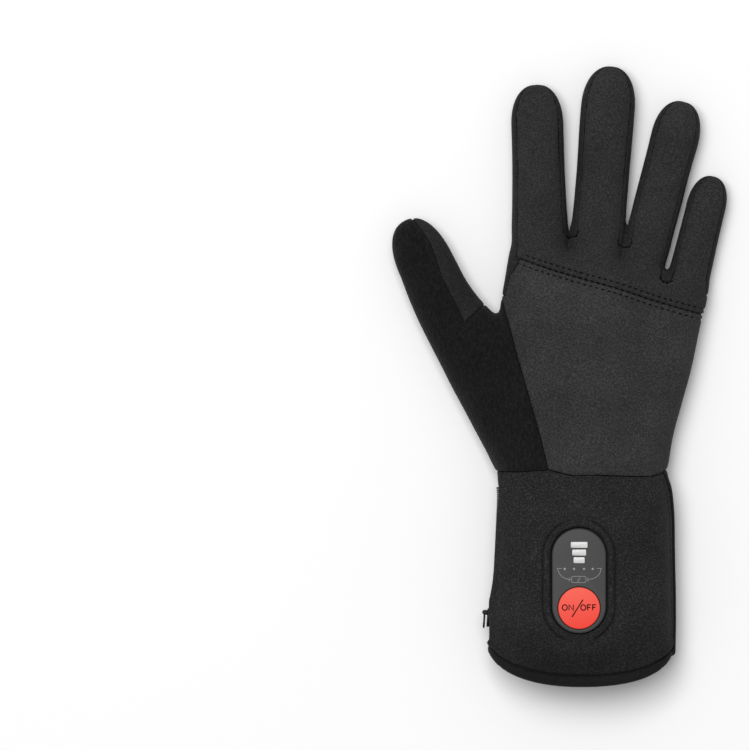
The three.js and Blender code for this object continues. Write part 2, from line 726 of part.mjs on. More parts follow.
const cloth = (color, roughness) => () => new THREE.MeshStandardMaterial({ color, roughness, metalness: 0 });
const finishes = {
  neoprene: cloth(0x2c2c2c, 0.9),
  fingerCloth: cloth(0x292929, 0.9),
  fleece: cloth(0x171717, 1),
  grip: cloth(0x242424, 0.75),
  plainSide: cloth(0x1d1d1d, 0.9),
  touch: cloth(0x2f2b28, 0.8),
  cuffCloth: cloth(0x222222, 0.9),
  binding: cloth(0x191919, 0.85),
  dark: cloth(0x101010, 1),
  metal: () => new THREE.MeshStandardMaterial({ color: 0x1c1c1e, roughness: 0.35, metalness: 0.9 }),
  housing: cloth(0x4a4a4b, 0.45),
  red: cloth(0xf4573f, 0.4),
  light: cloth(0xd2d2d0, 0.35),
};
const nodeFinish = {
  finger_backs: 'fingerCloth',
  hand_back: 'neoprene',
  side_walls: 'plainSide',
  palm_panel: 'grip',
  index_touch_pad: 'touch',
  thumb_back: 'fleece',
  thumb_side: 'plainSide',
  thumb_front: 'grip',
  thumb_touch_pad: 'touch',
  cuff_back: 'cuffCloth',
  cuff_palm: 'cuffCloth',
  cuff_back_binding: 'binding',
  cuff_palm_binding: 'binding',
  cuff_gusset: 'dark',
  zip_tape: 'dark',
  zip_teeth: 'dark',
  window_welt: 'cuffCloth',
  wrist_strap: 'cuffCloth',
  strap_binding: 'binding',
};

function node(name, shape, finish) {
  const mesh = new THREE.Mesh(toGeometry(largest(shape)), finishes[finish]());
  mesh.name = name;
  return mesh;
}

// Assembly

const glove = new THREE.Group();
for (const [name, shape] of Object.entries({ ...panels, ...cuffParts, ...strapParts })) {
  glove.add(node(name, shape, nodeFinish[name]));
}

const controller = new THREE.Group();
controller.position.set(faceOffset, -faceDrop, strapStack + cuffDepth + faceRise);
controller.add(node('controller_housing', housing, 'housing'));
controller.add(node('power_button', button, 'red'));
barSolids.forEach((bar, k) => controller.add(node(`level_bar_${k + 1}`, bar, 'light')));
glove.add(controller);

// How far across the cuff's thumb side stands, at a distance down from the wrist seam.
function cuffSide(down) {
  const upper = cuffSections.findLast((row) => row.down * cuffLength >= down) ?? cuffSections[0];
  const lower = cuffSections[cuffSections.indexOf(upper) + 1] ?? upper;
  const span = (upper.down - lower.down) * cuffLength || 1;
  const share = (upper.down * cuffLength - down) / span;
  return THREE.MathUtils.lerp(upper.left, lower.left, share) * cuffWidth;
}

// The slider lies along the teeth and faces the thumb side, its own z pointing outward and its own x up.
const sliderAbove = cuffSide(sliderDrop - sliderLength / 2);
const sliderBelow = cuffSide(sliderDrop + sliderLength / 2);
const zipSide = new THREE.Group();
const sliderFace = Math.min(cuffSide(sliderDrop), (sliderAbove + sliderBelow) / 2) - zipTeethRise - seamGap;
zipSide.position.set(sliderFace, -sliderDrop, zipHeight);
zipSide.rotation.z = Math.atan2(sliderBelow - sliderAbove, sliderLength);
glove.add(zipSide);
const zip = new THREE.Group();
zip.rotation.set(0, -Math.PI / 2, 0);
zipSide.add(zip);
zip.add(node('zip_slider', sliderBody(), 'metal'));
zip.add(node('zip_puller', pullerBody(), 'metal'));

// The origin is the middle of the footprint, on the surface.
glove.updateMatrixWorld(true);
const box = new THREE.Box3().setFromObject(glove, true);
glove.position.set(-(box.min.x + box.max.x) / 2, -(box.min.y + box.max.y) / 2, -box.min.z);

export default glove;
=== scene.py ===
# %% [markdown]
# A heated glove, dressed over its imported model
#
# The glove is a right-hand one and lies palm down. Its cloth is padded neoprene with a knitted face, sewn
# from panels. Each cell below makes one kind of piece or one finish. Lengths are in millimetres, measured
# from the middle of the wrist seam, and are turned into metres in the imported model's frame when a mesh is
# made.

import math

import bpy
import numpy as np
import openvdb
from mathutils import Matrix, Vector
from mathutils.bvhtree import BVHTree
from mathutils.geometry import tessellate_polygon
from mathutils.kdtree import KDTree


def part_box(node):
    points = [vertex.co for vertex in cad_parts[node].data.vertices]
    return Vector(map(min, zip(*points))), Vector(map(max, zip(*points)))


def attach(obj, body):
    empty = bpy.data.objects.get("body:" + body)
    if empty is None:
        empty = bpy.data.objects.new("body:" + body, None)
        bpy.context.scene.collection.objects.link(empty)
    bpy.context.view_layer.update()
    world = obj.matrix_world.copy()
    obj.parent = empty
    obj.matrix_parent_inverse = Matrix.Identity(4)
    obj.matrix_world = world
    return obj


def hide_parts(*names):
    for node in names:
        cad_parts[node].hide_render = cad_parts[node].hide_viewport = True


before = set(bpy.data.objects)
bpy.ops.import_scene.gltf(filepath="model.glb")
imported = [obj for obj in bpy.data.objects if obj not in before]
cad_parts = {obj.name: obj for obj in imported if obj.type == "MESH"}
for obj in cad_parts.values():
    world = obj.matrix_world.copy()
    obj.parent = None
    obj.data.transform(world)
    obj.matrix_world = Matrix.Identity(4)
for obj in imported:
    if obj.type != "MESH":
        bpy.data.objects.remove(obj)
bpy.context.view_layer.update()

# %% [markdown]
# Where the wrist seam's middle lies
#
# The controller's middle is 1.9 mm towards the thumb and 50.8 mm below the wrist seam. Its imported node
# says where that is, so the wrist seam's middle follows from it and no offset has to be typed.

# %% Find the wrist seam's middle
MM = 0.001
FACE_OFFSET = -1.9
FACE_DROP = 50.8
BUTTON_DROP = 13.0
low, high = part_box("controller_housing")
WRIST_X = (low[0] + high[0]) / 2 / MM - FACE_OFFSET
WRIST_Y = (low[1] + high[1]) / 2 / MM + FACE_DROP
print("wrist seam's middle (mm):", round(WRIST_X, 3), round(WRIST_Y, 3))

# %% [markdown]
# Sizes of the glove
#
# A glove maker grades a pattern from a few body sizes. The same sizes drive every table below.

# %% Hand, cuff and cloth sizes
HAND_LENGTH = 196.3
PALM_WIDTH = 94.0
PALM_DEPTH = 31.0
FINGER_WIDTH = 26.0
FINGER_DEPTH = 20.0
THUMB_WIDTH = 30.0
THUMB_DEPTH = 23.0
WRIST_WIDTH = 83.5
WRIST_DEPTH = 34.5
CUFF_LENGTH = 101.8
CUFF_WIDTH = 88.6
CUFF_DEPTH = 38.6
HEM_ROUND = 20.0
BINDING_WIDTH = 5.3
WALL = 2.2
PRESSED = 1.5
STRAP_LIFT = 0.9
STRAP_THICKNESS = 2.5
STRAP_STACK = STRAP_LIFT + STRAP_THICKNESS
FRONT_SEAM = 6.0
ZIP_HEIGHT = 17.8
print("hand (mm):", HAND_LENGTH, "cuff (mm):", CUFF_LENGTH)

# %% [markdown]
# Tables of sections
#
# A drawing of the whole outline would be a long list of points. A few sections with named columns say the
# same and keep their proportions when a body size changes.

# %% Sections of the hand, the cuff and the digits
# Sections across the hand: left x, left y, right x, right y, top and waist, as shares.
HAND_ROWS = [
    (-0.447, 0.062, 0.461, 0.072, 1.06, 0.42),
    (-0.447, 0.163, 0.51, 0.168, 1.03, 0.42),
    (-0.441, 0.28, 0.568, 0.27, 1.01, 0.43),
    (-0.42, 0.388, 0.61, 0.366, 0.96, 0.43),
    (-0.387, 0.484, 0.638, 0.434, 0.87, 0.43),
    (-0.366, 0.54, 0.638, 0.462, 0.77, 0.43),
    (-0.33, 0.572, 0.6, 0.48, 0.6, 0.5),
]
# Sections of the cuff: how far down, left x, right x, top and floor, as shares.
CUFF_ROWS = [
    (1.03, -0.506, 0.502, 0.91, 1.0),
    (0.835, -0.503, 0.501, 0.97, 1.0),
    (0.64, -0.489, 0.5, 1.0, 1.0),
    (0.44, -0.474, 0.499, 1.0, 1.0),
    (0.24, -0.463, 0.497, 0.95, 1.0),
    (0.1, -0.457, 0.488, 0.87, 0.7),
]
CUFF_WAIST = 0.373
WRIST_WAIST = 0.43
# Digits: root x, root y, tip x, tip y, width and depth, as shares.
FINGER_ROWS = {
    "index": (-0.2, 0.42, -0.233, 0.954, 0.975, 1.0),
    "middle": (0.056, 0.42, 0.153, 1.0, 1.0, 1.03),
    "ring": (0.264, 0.41, 0.527, 0.912, 0.925, 0.98),
    "little": (0.47, 0.35, 0.678, 0.73, 0.745, 0.86),
}
THUMB_ROW = (-0.297, 0.031, -0.905, 0.6215, 1.0, 1.0)
# How much narrower the cloth draws in beside each gap: along as a share, left and right in mm.
FINGER_TRIMS = {
    "index": [(0, 0, 0), (0.45, 0, 0.1), (0.62, 0, 0.1), (0.9, 0, 0), (1, 0, 0)],
    "middle": [(0, 0, 0.3), (0.34, 0, 0.5), (0.43, 1, 0.9), (0.6, 0.6, 0.4), (0.9, 0, 0), (1, 0, 0)],
    "ring": [(0, 0.2, 2.3), (0.42, 0.6, 2.5), (0.63, 0.1, 1.4), (0.87, 0, 0.8), (1, 0, 0.3)],
    "little": [(0, 0.7, 0), (0.4, 0.8, 0), (0.7, 0.6, 0), (0.95, 0.2, 0), (1, 0, 0)],
}
# The rounded ends of the finger gaps in plan: x, y and radius.
CROTCHES = [(-5.2, 116.3, 2.6), (20.6, 111.6, 2.7), (40.7, 95.1, 2.8)]
# How a digit's section changes along it: along, left, right and depth.
FINGER_PROFILE = [
    (0, 0.5, 0.5, 0.8),
    (0.2, 1, 1, 1.12),
    (0.4, 1.07, 1.07, 1.12),
    (0.56, 1.03, 1.03, 1.04),
    (0.78, 1, 1, 1),
    (1, 0.985, 0.985, 0.97),
]
THUMB_PROFILE = [
    (0, 0.8, 1.3, 0.95),
    (0.1, 0.93, 1.9, 1.12),
    (0.3, 0.96, 1.95, 1.14),
    (0.5, 1.03, 1.68, 1.1),
    (0.63, 1.04, 1.33, 1.05),
    (0.7, 1.03, 1.14, 1.02),
    (0.79, 1.01, 0.96, 0.98),
    (0.88, 0.98, 0.89, 0.94),
    (1, 0.92, 0.9, 0.9),
]
HAND_POWER = 2.5
FINGER_POWER = 2.3
TIP_POWER = 2.25
TIP_ROUND = 0.8
DIGIT_WAIST = 0.48
print("sections:", len(HAND_ROWS), "of the hand,", len(CUFF_ROWS), "of the cuff")

# %% [markdown]
# Smooth curves through a few rows
#
# A pattern gives a section only every few centimetres. Between them the cloth runs on in a smooth curve,
# so the rows are joined by a curve that passes through each of them and never swings past a neighbour.

# %% A curve through given values
def curve_through(keys, values, wanted):
    """Values at wanted, on a smooth curve that keeps within its neighbours."""
    keys = np.asarray(keys, float)
    values = np.asarray(values, float)
    wanted = np.clip(wanted, keys[0], keys[-1])
    gaps = np.diff(keys)
    slopes = np.diff(values) / gaps
    tangents = np.zeros(len(keys))
    tangents[0] = slopes[0]
    tangents[-1] = slopes[-1]
    for i in range(1, len(keys) - 1):
        before = slopes[i - 1]
        after = slopes[i]
        if before * after > 0:
            tangents[i] = 2 * before * after / (before + after)
    place = np.clip(np.searchsorted(keys, wanted, side="right") - 1, 0, len(gaps) - 1)
    gap = gaps[place]
    t = (wanted - keys[place]) / gap
    start = values[place]
    end = values[place + 1]
    a = (1 + 2 * t) * (1 - t) ** 2
    b = t * (1 - t) ** 2
    c = t**2 * (3 - 2 * t)
    d = t**2 * (t - 1)
    return a * start + b * gap * tangents[place] + c * end + d * gap * tangents[place + 1]


def smooth_line(points, steps=8):
    """A smooth line in plan through points."""
    points = np.asarray(points, float)
    spacing = np.linalg.norm(np.diff(points, axis=0), axis=1)
    keys = np.concatenate([[0], np.cumsum(spacing)])
    wanted = [np.linspace(*ends, steps, endpoint=False) for ends in zip(keys[:-1], keys[1:])]
    wanted = np.append(np.concatenate(wanted), keys[-1])
    return np.stack([curve_through(keys, points[:, k], wanted) for k in (0, 1)], axis=1)


print("halfway between 0 and 1:", float(curve_through([0, 1], [0, 1], np.array([0.5]))[0]))

# %% [markdown]
# The filled form
#
# Hand, cuff and digits are each a loft: a row of rounded sections joined by a skin. A section is flattened
# where it would reach below the table, as padded cloth is. The lofts overlap, and become one body in the
# next step.

# %% Rounded sections and lofts
SIDES = 72


def super_round(value, power):
    return np.sign(value) * np.abs(value) ** (2 / power)


def section_ring(left, right, top, waist, floor, pressed, power):
    """One closed ring of points on the line from left to right."""
    angle = np.linspace(0, 2 * np.pi, SIDES, endpoint=False)
    wide = super_round(np.cos(angle), power)
    tall = super_round(np.sin(angle), power)
    plan = np.asarray(left) + (np.asarray(right) - np.asarray(left)) * ((wide[:, None] + 1) / 2)
    reach = np.where(tall > 0, top - waist, waist - floor + pressed)
    z = np.maximum(floor, waist + reach * tall)
    return np.column_stack([plan, z])


def loft_skin(rings):
    """Points, four-sided faces and end triangles of a closed loft."""
    count = len(rings)
    points = np.concatenate([*rings, [rings[0].mean(axis=0)], [rings[-1].mean(axis=0)]])
    k, i = np.meshgrid(np.arange(count - 1), np.arange(SIDES), indexing="ij")
    a = (k * SIDES + i).ravel()
    b = (k * SIDES + (i + 1) % SIDES).ravel()
    quads = np.column_stack([a, a + SIDES, b + SIDES, b])
    i = np.arange(SIDES)
    j = (i + 1) % SIDES
    last = (count - 1) * SIDES
    first_cap = np.column_stack([np.full(SIDES, count * SIDES), i, j])
    last_cap = np.column_stack([np.full(SIDES, count * SIDES + 1), last + j, last + i])
    return points, quads, np.concatenate([first_cap, last_cap])


print("a ring has", SIDES, "points")

# %% [markdown]
# Cuff and hand
#
# The trunk is one loft from the hem to the knuckles. The cuff stands on the strap, which lies under it, so
# its floor is raised by the thickness of the strap. Its rows are read off the tables above.

# %% The trunk
def trunk_rows():
    """Every section of cuff and hand, from the hem to the knuckles."""
    rows = []
    for down, left, right, top, floor in CUFF_ROWS:
        y = -down * CUFF_LENGTH
        base = floor * STRAP_STACK
        waist = base + CUFF_WAIST * CUFF_DEPTH
        height = STRAP_STACK + top * CUFF_DEPTH
        rows.append((left * CUFF_WIDTH, y, right * CUFF_WIDTH, y, height, waist, base))
    half = WRIST_WIDTH / 2
    rows.append((-half, 0, half, 0, WRIST_DEPTH, WRIST_WAIST * WRIST_DEPTH, STRAP_STACK / 3))
    for left_x, left_y, right_x, right_y, top, waist in HAND_ROWS:
        height = top * PALM_DEPTH
        left = (left_x * PALM_WIDTH, left_y * HAND_LENGTH)
        right = (right_x * PALM_WIDTH, right_y * HAND_LENGTH)
        rows.append((*left, *right, height, waist * height, 0))
    return np.array(rows)


def trunk_rings(count=90):
    rows = trunk_rows()
    keys = (rows[:, 1] + rows[:, 3]) / 2
    wanted = np.unique(np.concatenate([np.linspace(keys[0], keys[-1], count), keys]))
    columns = [curve_through(keys, rows[:, k], wanted) for k in range(rows.shape[1])]
    return [
        section_ring((lx, ly), (rx, ry), top, waist, floor, PRESSED, HAND_POWER)
        for lx, ly, rx, ry, top, waist, floor in zip(*columns)
    ]


print("rows of the trunk:", len(trunk_rows()))

# %% [markdown]
# Fingers and thumb
#
# Each digit is a loft along a straight middle line with a round tip. Its two sides are set apart from each
# other, because a sewn finger is fuller on one side of its middle than on the other near the root.

# %% The digits
class Digit:
    """One finger or the thumb: its middle line in plan and its sections."""

    def __init__(self, row, profile, full_width, full_depth, trims=((0, 0, 0), (1, 0, 0))):
        root_x, root_y, tip_x, tip_y, width, depth = row
        self.root = np.array([root_x * PALM_WIDTH, root_y * HAND_LENGTH])
        tip = np.array([tip_x * PALM_WIDTH, tip_y * HAND_LENGTH])
        self.length = np.linalg.norm(tip - self.root)
        self.direction = (tip - self.root) / self.length
        self.side = np.array([self.direction[1], -self.direction[0]])
        self.half = width * full_width / 2
        self.depth = depth * full_depth
        self.rounded = 2 * TIP_ROUND * self.half
        self.waist = DIGIT_WAIST * self.depth
        self.profile = np.array(profile, float)
        self.trims = np.array(trims, float)

    def at(self, along, right):
        return self.root + self.direction * along + self.side * right

    def local(self, points):
        """How far along and to the right each point lies in plan."""
        offset = points[:, :2] - self.root
        return offset @ self.direction, offset @ self.side

    def sections(self, along):
        """Left and right half widths, top, and the tip's rounding, at distances along."""
        straight = self.length - self.rounded
        share = np.clip(np.asarray(along, float) / straight, 0, 1)
        left, right, deep = (curve_through(self.profile[:, 0], self.profile[:, k], share) for k in (1, 2, 3))
        left = left - curve_through(self.trims[:, 0], self.trims[:, 1], share) / self.half
        right = right - curve_through(self.trims[:, 0], self.trims[:, 2], share) / self.half
        beyond = np.clip((np.asarray(along, float) - straight) / self.rounded, 0, 1)
        around = (1 - beyond**TIP_POWER) ** (1 / TIP_POWER)
        top = self.waist + (deep * self.depth - self.waist) * around
        return left * self.half * around, right * self.half * around, top, around

    def rings(self):
        straight = self.length - self.rounded
        turn = np.linspace(0, np.pi / 2, 22)[1:]
        tip = straight + self.rounded * np.sin(turn) ** (2 / TIP_POWER)
        tip[-1] = self.length - 0.002
        rings = []
        for along in np.concatenate([np.linspace(0, straight, 44), tip]):
            left, right, top, around = (float(v) for v in self.sections(along))
            pressed = (self.waist + PRESSED) * around - self.waist
            ends = (self.at(along, -left), self.at(along, right))
            rings.append(section_ring(*ends, top, self.waist, 0, pressed, FINGER_POWER))
        return rings


digits = {
    name: Digit(row, FINGER_PROFILE, FINGER_WIDTH, FINGER_DEPTH, FINGER_TRIMS[name])
    for name, row in FINGER_ROWS.items()
}
digits["thumb"] = Digit(THUMB_ROW, THUMB_PROFILE, THUMB_WIDTH, THUMB_DEPTH)
print("digit lengths (mm):", {name: round(digit.length, 1) for name, digit in digits.items()})

# %% [markdown]
# One body from the lofts
#
# Sewn cloth has no sharp valley where a finger meets the hand. A level set is a grid of distances to a
# surface: two of them can be joined with a soft minimum, which fills the valley with a small round. The
# voxel remesh in Blender works on the same kind of grid, but joins sharply, so the grid is used directly.

# %% Join the lofts softly
VOXEL = 0.85
GRID_BAND = 8
FINGER_FILLET = 1.0
HAND_FILLET = 3.0
THUMB_FILLET = 5.0
grid_low = np.array([-96.0, -112.0, -8.0])
grid_high = np.array([76.0, 204.0, 52.0])
grid_shape = tuple(int(v) for v in np.ceil((grid_high - grid_low) / VOXEL))


def distance_grid(rings):
    points, quads, caps = loft_skin(rings)
    grid = openvdb.FloatGrid.createLevelSetFromPolygons(
        ((points - grid_low) / VOXEL).astype(np.float32),
        triangles=caps.astype(np.uint32),
        quads=quads.astype(np.uint32),
        transform=openvdb.createLinearTransform(voxelSize=1.0),
        halfWidth=float(GRID_BAND),
    )
    dense = np.full(grid_shape, float(GRID_BAND), dtype=np.float32)
    grid.copyToArray(dense)
    return dense * VOXEL


def soft_union(a, b, round_mm):
    overlap = np.maximum(round_mm - np.abs(a - b), 0) / round_mm
    return np.minimum(a, b) - overlap**2 * round_mm / 4


fingers_grid = distance_grid(digits["index"].rings())
for name in ("middle", "ring", "little"):
    fingers_grid = soft_union(fingers_grid, distance_grid(digits[name].rings()), FINGER_FILLET)
hand_grid = soft_union(distance_grid(trunk_rings()), fingers_grid, HAND_FILLET)
hand_grid = soft_union(hand_grid, distance_grid(digits["thumb"].rings()), THUMB_FILLET)
print("grid:", hand_grid.shape, "inside share:", round(float((hand_grid < 0).mean()), 3))

# %% [markdown]
# The skin of the grid
#
# The surface is where the distance is zero. The grid gives it in four-sided faces, and each is parted along
# its shorter diagonal, because the seams are cut through triangles.

# %% Take the skin off the grid
def skin_of(dense):
    """Triangles of the surface where a distance grid is zero, facing outward."""
    grid = openvdb.FloatGrid(float(GRID_BAND * VOXEL))
    grid.copyFromArray(dense)
    points, quads = grid.convertToQuads(isovalue=0.0)
    points = points.astype(float) * VOXEL + grid_low
    quads = quads.astype(np.int64)
    first = np.linalg.norm(points[quads[:, 0]] - points[quads[:, 2]], axis=1)
    second = np.linalg.norm(points[quads[:, 1]] - points[quads[:, 3]], axis=1)
    by_first = quads[first <= second]
    by_second = quads[first > second]
    triangles = np.concatenate(
        [by_first[:, [0, 1, 2]], by_first[:, [0, 2, 3]], by_second[:, [0, 1, 3]], by_second[:, [1, 2, 3]]]
    )
    a, b, c = (points[triangles[:, k]] for k in range(3))
    if np.einsum("ij,ij->i", a, np.cross(b, c)).sum() < 0:
        triangles = triangles[:, ::-1]
    return points, triangles


skin_points, skin_faces = skin_of(hand_grid)
print("skin:", len(skin_points), "points,", len(skin_faces), "triangles")

# %% [markdown]
# Relief of the whole skin
#
# Before the panels are cut, the skin gets the shapes that run across seams: it is flat where it rests, is
# drawn in at the wrist seam, swells over the controller's body, and has the slight waves of soft cloth.

# %% Shape the skin
def normals_of(points, faces):
    a, b, c = (points[faces[:, k]] for k in range(3))
    face_normals = np.cross(b - a, c - a)
    normals = np.zeros_like(points)
    for k in range(3):
        np.add.at(normals, faces[:, k], face_normals)
    return normals / np.maximum(np.linalg.norm(normals, axis=1, keepdims=True), 1e-9)


def stadium_distance(x, y, radius, half_straight):
    """Distance in plan from the controller's rounded outline, negative inside."""
    across = x - FACE_OFFSET
    along = y + FACE_DROP
    beyond = np.maximum(np.abs(along) - half_straight, 0)
    return np.hypot(across, beyond) - radius


FACE_RADIUS = 13.0
FACE_STRAIGHT = 12.1
WAVES = 14
WAVE_PITCH = 0.09
WAVE_HEIGHT = 0.9
WRIST_PULL = 0.9
WRIST_PULL_REACH = 3.5
rng = np.random.default_rng(7)
wave_vectors = rng.normal(size=(WAVES, 3)) * WAVE_PITCH
wave_starts = rng.uniform(0, 2 * np.pi, WAVES)


def cloth_waves(points):
    return np.sin(points @ wave_vectors.T + wave_starts).mean(axis=1)


def shape_skin(points, faces):
    normals = normals_of(points, faces)
    x, y, z = points.T
    upper = np.clip((z - 12) / 12, 0, 1)
    beside_zip = np.clip((x + 36) / 6, 0, 1)
    off_table = np.clip((z - 2) / 6, 0, 1)
    move = WAVE_HEIGHT * cloth_waves(points) * off_table * np.where(y < 0, beside_zip, 1)
    move -= WRIST_PULL * np.exp(-((y / WRIST_PULL_REACH) ** 2)) * np.clip((z - 3) / 6, 0, 1)
    away = stadium_distance(x, y, FACE_RADIUS, FACE_STRAIGHT)
    below = np.clip((-y - FACE_DROP - 6) / 16, 0, 1)
    swell = np.clip((15.5 - away) / 6.5, 0, 1)
    move += upper * (0.35 + 0.85 * below) * swell**2 * (3 - 2 * swell)
    moved = points + normals * move[:, None]
    moved[:, 2] = np.maximum(moved[:, 2], np.where(y > -2, 0, np.minimum(points[:, 2], moved[:, 2])))
    return moved


skin_points = shape_skin(skin_points, skin_faces)
skin_points[:, 2] = np.maximum(skin_points[:, 2], 0)
print("skin top (mm):", round(float(skin_points[:, 2].max()), 2))

# %% [markdown]
# Seams
#
# A seam is where two panels are sewn edge to edge. Each seam is written as a number at every point that is
# zero on the seam and grows with the distance from it. The skin's triangles are parted where that number
# is zero, and again a little to both sides, so that rows of points follow the seam and its rolled edges.

# %% Part triangles along a seam
def part_along(points, faces, number, free, row):
    """Puts points where number equals row, on edges between free points."""
    value = number - row
    a, b, c = (value[faces[:, k]] for k in range(3))
    fa, fb, fc = (free[faces[:, k]] for k in range(3))
    crossed = ((a * b < 0) & fa & fb) | ((b * c < 0) & fb & fc) | ((c * a < 0) & fc & fa)
    near = faces[crossed]
    if len(near) == 0:
        return points, faces, number, free
    edges = np.sort(np.stack([near, np.roll(near, -1, axis=1)], axis=2).reshape(-1, 2), axis=1)
    key, inverse = np.unique(edges[:, 0] * len(points) + edges[:, 1], return_inverse=True)
    inverse = inverse.reshape(-1, 3)
    a = key // len(points)
    b = key % len(points)
    open_edge = free[a] & free[b]
    points = points.copy()
    for start, end in ((a, b), (b, a)):
        crossing = open_edge & (value[start] * value[end] < 0)
        gap = np.where(crossing, value[start] - value[end], 1)
        share = np.where(crossing, value[start] / gap, 1)
        close = np.flatnonzero(crossing & (share < 0.28))
        close = close[np.argsort(-share[close])]
        step = share[close, None] * (points[end[close]] - points[start[close]])
        points[start[close]] = points[start[close]] + step
        value[start[close]] = 0
    crossing = open_edge & (value[a] * value[b] < 0)
    gap = np.where(crossing, value[a] - value[b], 1)
    share = np.where(crossing, value[a] / gap, 0)
    added = (points[a] + share[:, None] * (points[b] - points[a]))[crossing]
    ids = np.full(len(key), -1)
    ids[crossing] = len(points) + np.arange(len(added))
    middles = ids[inverse]
    count = (middles >= 0).sum(axis=1)
    parts = [faces[~crossed], near[count == 0]]
    for turn in range(3):
        v = np.roll(near, -turn, axis=1)
        m = np.roll(middles, -turn, axis=1)
        one = (count == 1) & (m[:, 0] >= 0)
        v1, m1 = v[one], m[one]
        parts.append(np.column_stack([v1[:, 0], m1[:, 0], v1[:, 2]]))
        parts.append(np.column_stack([m1[:, 0], v1[:, 1], v1[:, 2]]))
        two = (count == 2) & (m[:, 2] < 0)
        v2, m2 = v[two], m[two]
        parts.append(np.column_stack([m2[:, 0], v2[:, 1], m2[:, 1]]))
        parts.append(np.column_stack([v2[:, 0], m2[:, 0], m2[:, 1]]))
        parts.append(np.column_stack([v2[:, 0], m2[:, 1], v2[:, 2]]))
    points = np.concatenate([points, added])
    number = np.concatenate([value, np.zeros(len(added))]) + row
    free = np.concatenate([free, np.ones(len(added), bool)])
    return points, np.concatenate(parts), number, free


corners = np.array([[0.0, 0, 0], [1, 0, 0], [0, 1, 0]])
parted = part_along(corners, np.array([[0, 1, 2]]), corners[:, 0], np.ones(3, bool), 0.5)[1]
print("a triangle is parted into", len(parted))

# %% [markdown]
# Distances from a line in plan
#
# Most seams are drawn in plan, as the photo shows them, and cut straight down through the skin. So a
# point needs to know how far it lies from a line, on which side of it, and how far along.

# %% Measure from a line
def place_on_line(points, line):
    """Signed distance in plan from a line, positive on its left, and the distance along it."""
    best = np.full(len(points), np.inf)
    signed = np.zeros(len(points))
    place = np.zeros(len(points))
    passed = 0.0
    plan = points[:, :2]
    for start, end in zip(line[:-1], line[1:]):
        along = end - start
        offset = plan - start
        share = np.clip(offset @ along / (along @ along), 0, 1)
        away = offset - share[:, None] * along
        distance = np.hypot(away[:, 0], away[:, 1])
        side = along[0] * offset[:, 1] - along[1] * offset[:, 0]
        closer = distance < best
        best = np.where(closer, distance, best)
        signed = np.where(closer, np.where(side >= 0, distance, -distance), signed)
        length = np.hypot(*along)
        place = np.where(closer, passed + share * length, place)
        passed += length
    return signed, place


def line_distance(points, line):
    return place_on_line(points, line)[0]


def shares(*points):
    return [(x * PALM_WIDTH, y * HAND_LENGTH) for x, y in points]


one_left = line_distance(np.array([[0.0, 1.0, 0]]), np.array([[-5.0, 0], [5, 0]]))
print("a point 1 mm left of a line:", one_left)

# %% [markdown]
# The seams of this glove
#
# The back panel ends at the knuckle stitching, at the thumb seam and at the wrist seam. Strips run down
# the sides of the fingers, and the palm side is one panel with the thumb's base let in.

# %% Lines of the seams
knuckle_line = smooth_line(
    shares(
        (-0.7, 0.6), (-0.45, 0.556), (-0.309, 0.525), (-0.007, 0.479), (0.173, 0.455),
        (0.388, 0.421), (0.8, 0.366),
    )
)
thumb_line = smooth_line(
    shares(
        (-0.338, 0.511), (-0.411, 0.437), (-0.369, 0.353), (-0.32, 0.266),
        (-0.261, 0.168), (-0.212, 0.082), (-0.16, -0.02),
    )
)
thumb_side_line = smooth_line(
    shares(
        (-0.91, 0.66), (-0.885, 0.64), (-0.772, 0.562), (-0.718, 0.485), (-0.659, 0.428), (-0.601, 0.37),
    )
)
thumb_crotch_line = np.array(shares((-0.601, 0.37), (-0.45, 0.435)))
thumb_base_line = smooth_line(
    shares(
        (-0.487, 0.43), (-0.402, 0.37), (-0.291, 0.3255), (-0.207, 0.261), (-0.17, 0.199),
        (-0.174, 0.146), (-0.207, 0.083), (-0.272, 0.03), (-0.36, -0.02),
    )
)
WRIST_STITCHES = [
    (-60, 1.5), (-41.9, 1.2), (-30.8, 1.2), (-17, 2.0), (-10.9, 0.8), (-4, -0.34),
    (4.4, -0.34), (21.3, -0.7), (30.4, -0.96), (38, 0), (41.5, 2), (60, 3),
]
wrist_line = smooth_line(WRIST_STITCHES)
SIDE_START = 0.437 * HAND_LENGTH
SEAM_SHARE = 0.62
HAND_SEAM_HEIGHT = 17.5
PAD_LENGTH = 35.0
print("knuckle line:", len(knuckle_line), "points")

# %% Heights of the side seams
def back_seam_height(points):
    """How high the seam between finger backs and side strips runs."""
    best = np.full(len(points), np.inf)
    height = np.full(len(points), HAND_SEAM_HEIGHT)
    for name in FINGER_ROWS:
        digit = digits[name]
        along, right = digit.local(points)
        left_half, right_half, top, around = digit.sections(np.clip(along, 0, digit.length))
        half = np.where(right > 0, right_half, left_half)
        wide = np.abs(right) / np.maximum(half, 2)
        seam = digit.waist + SEAM_SHARE * (top - digit.waist)
        inside = (along > 0.12 * digit.length) & (wide < best)
        best = np.where(inside, wide, best)
        height = np.where(inside, seam, height)
    return height


def gap_ways():
    """Each finger gap's rounded end: middle, radius and the way the gap runs."""
    ways = []
    fingers = [digits[name] for name in FINGER_ROWS]
    for (x, y, radius), one, other in zip(CROTCHES, fingers, fingers[1:]):
        way = one.direction + other.direction
        ways.append((np.array([x, y]), radius, way / np.linalg.norm(way)))
    return ways


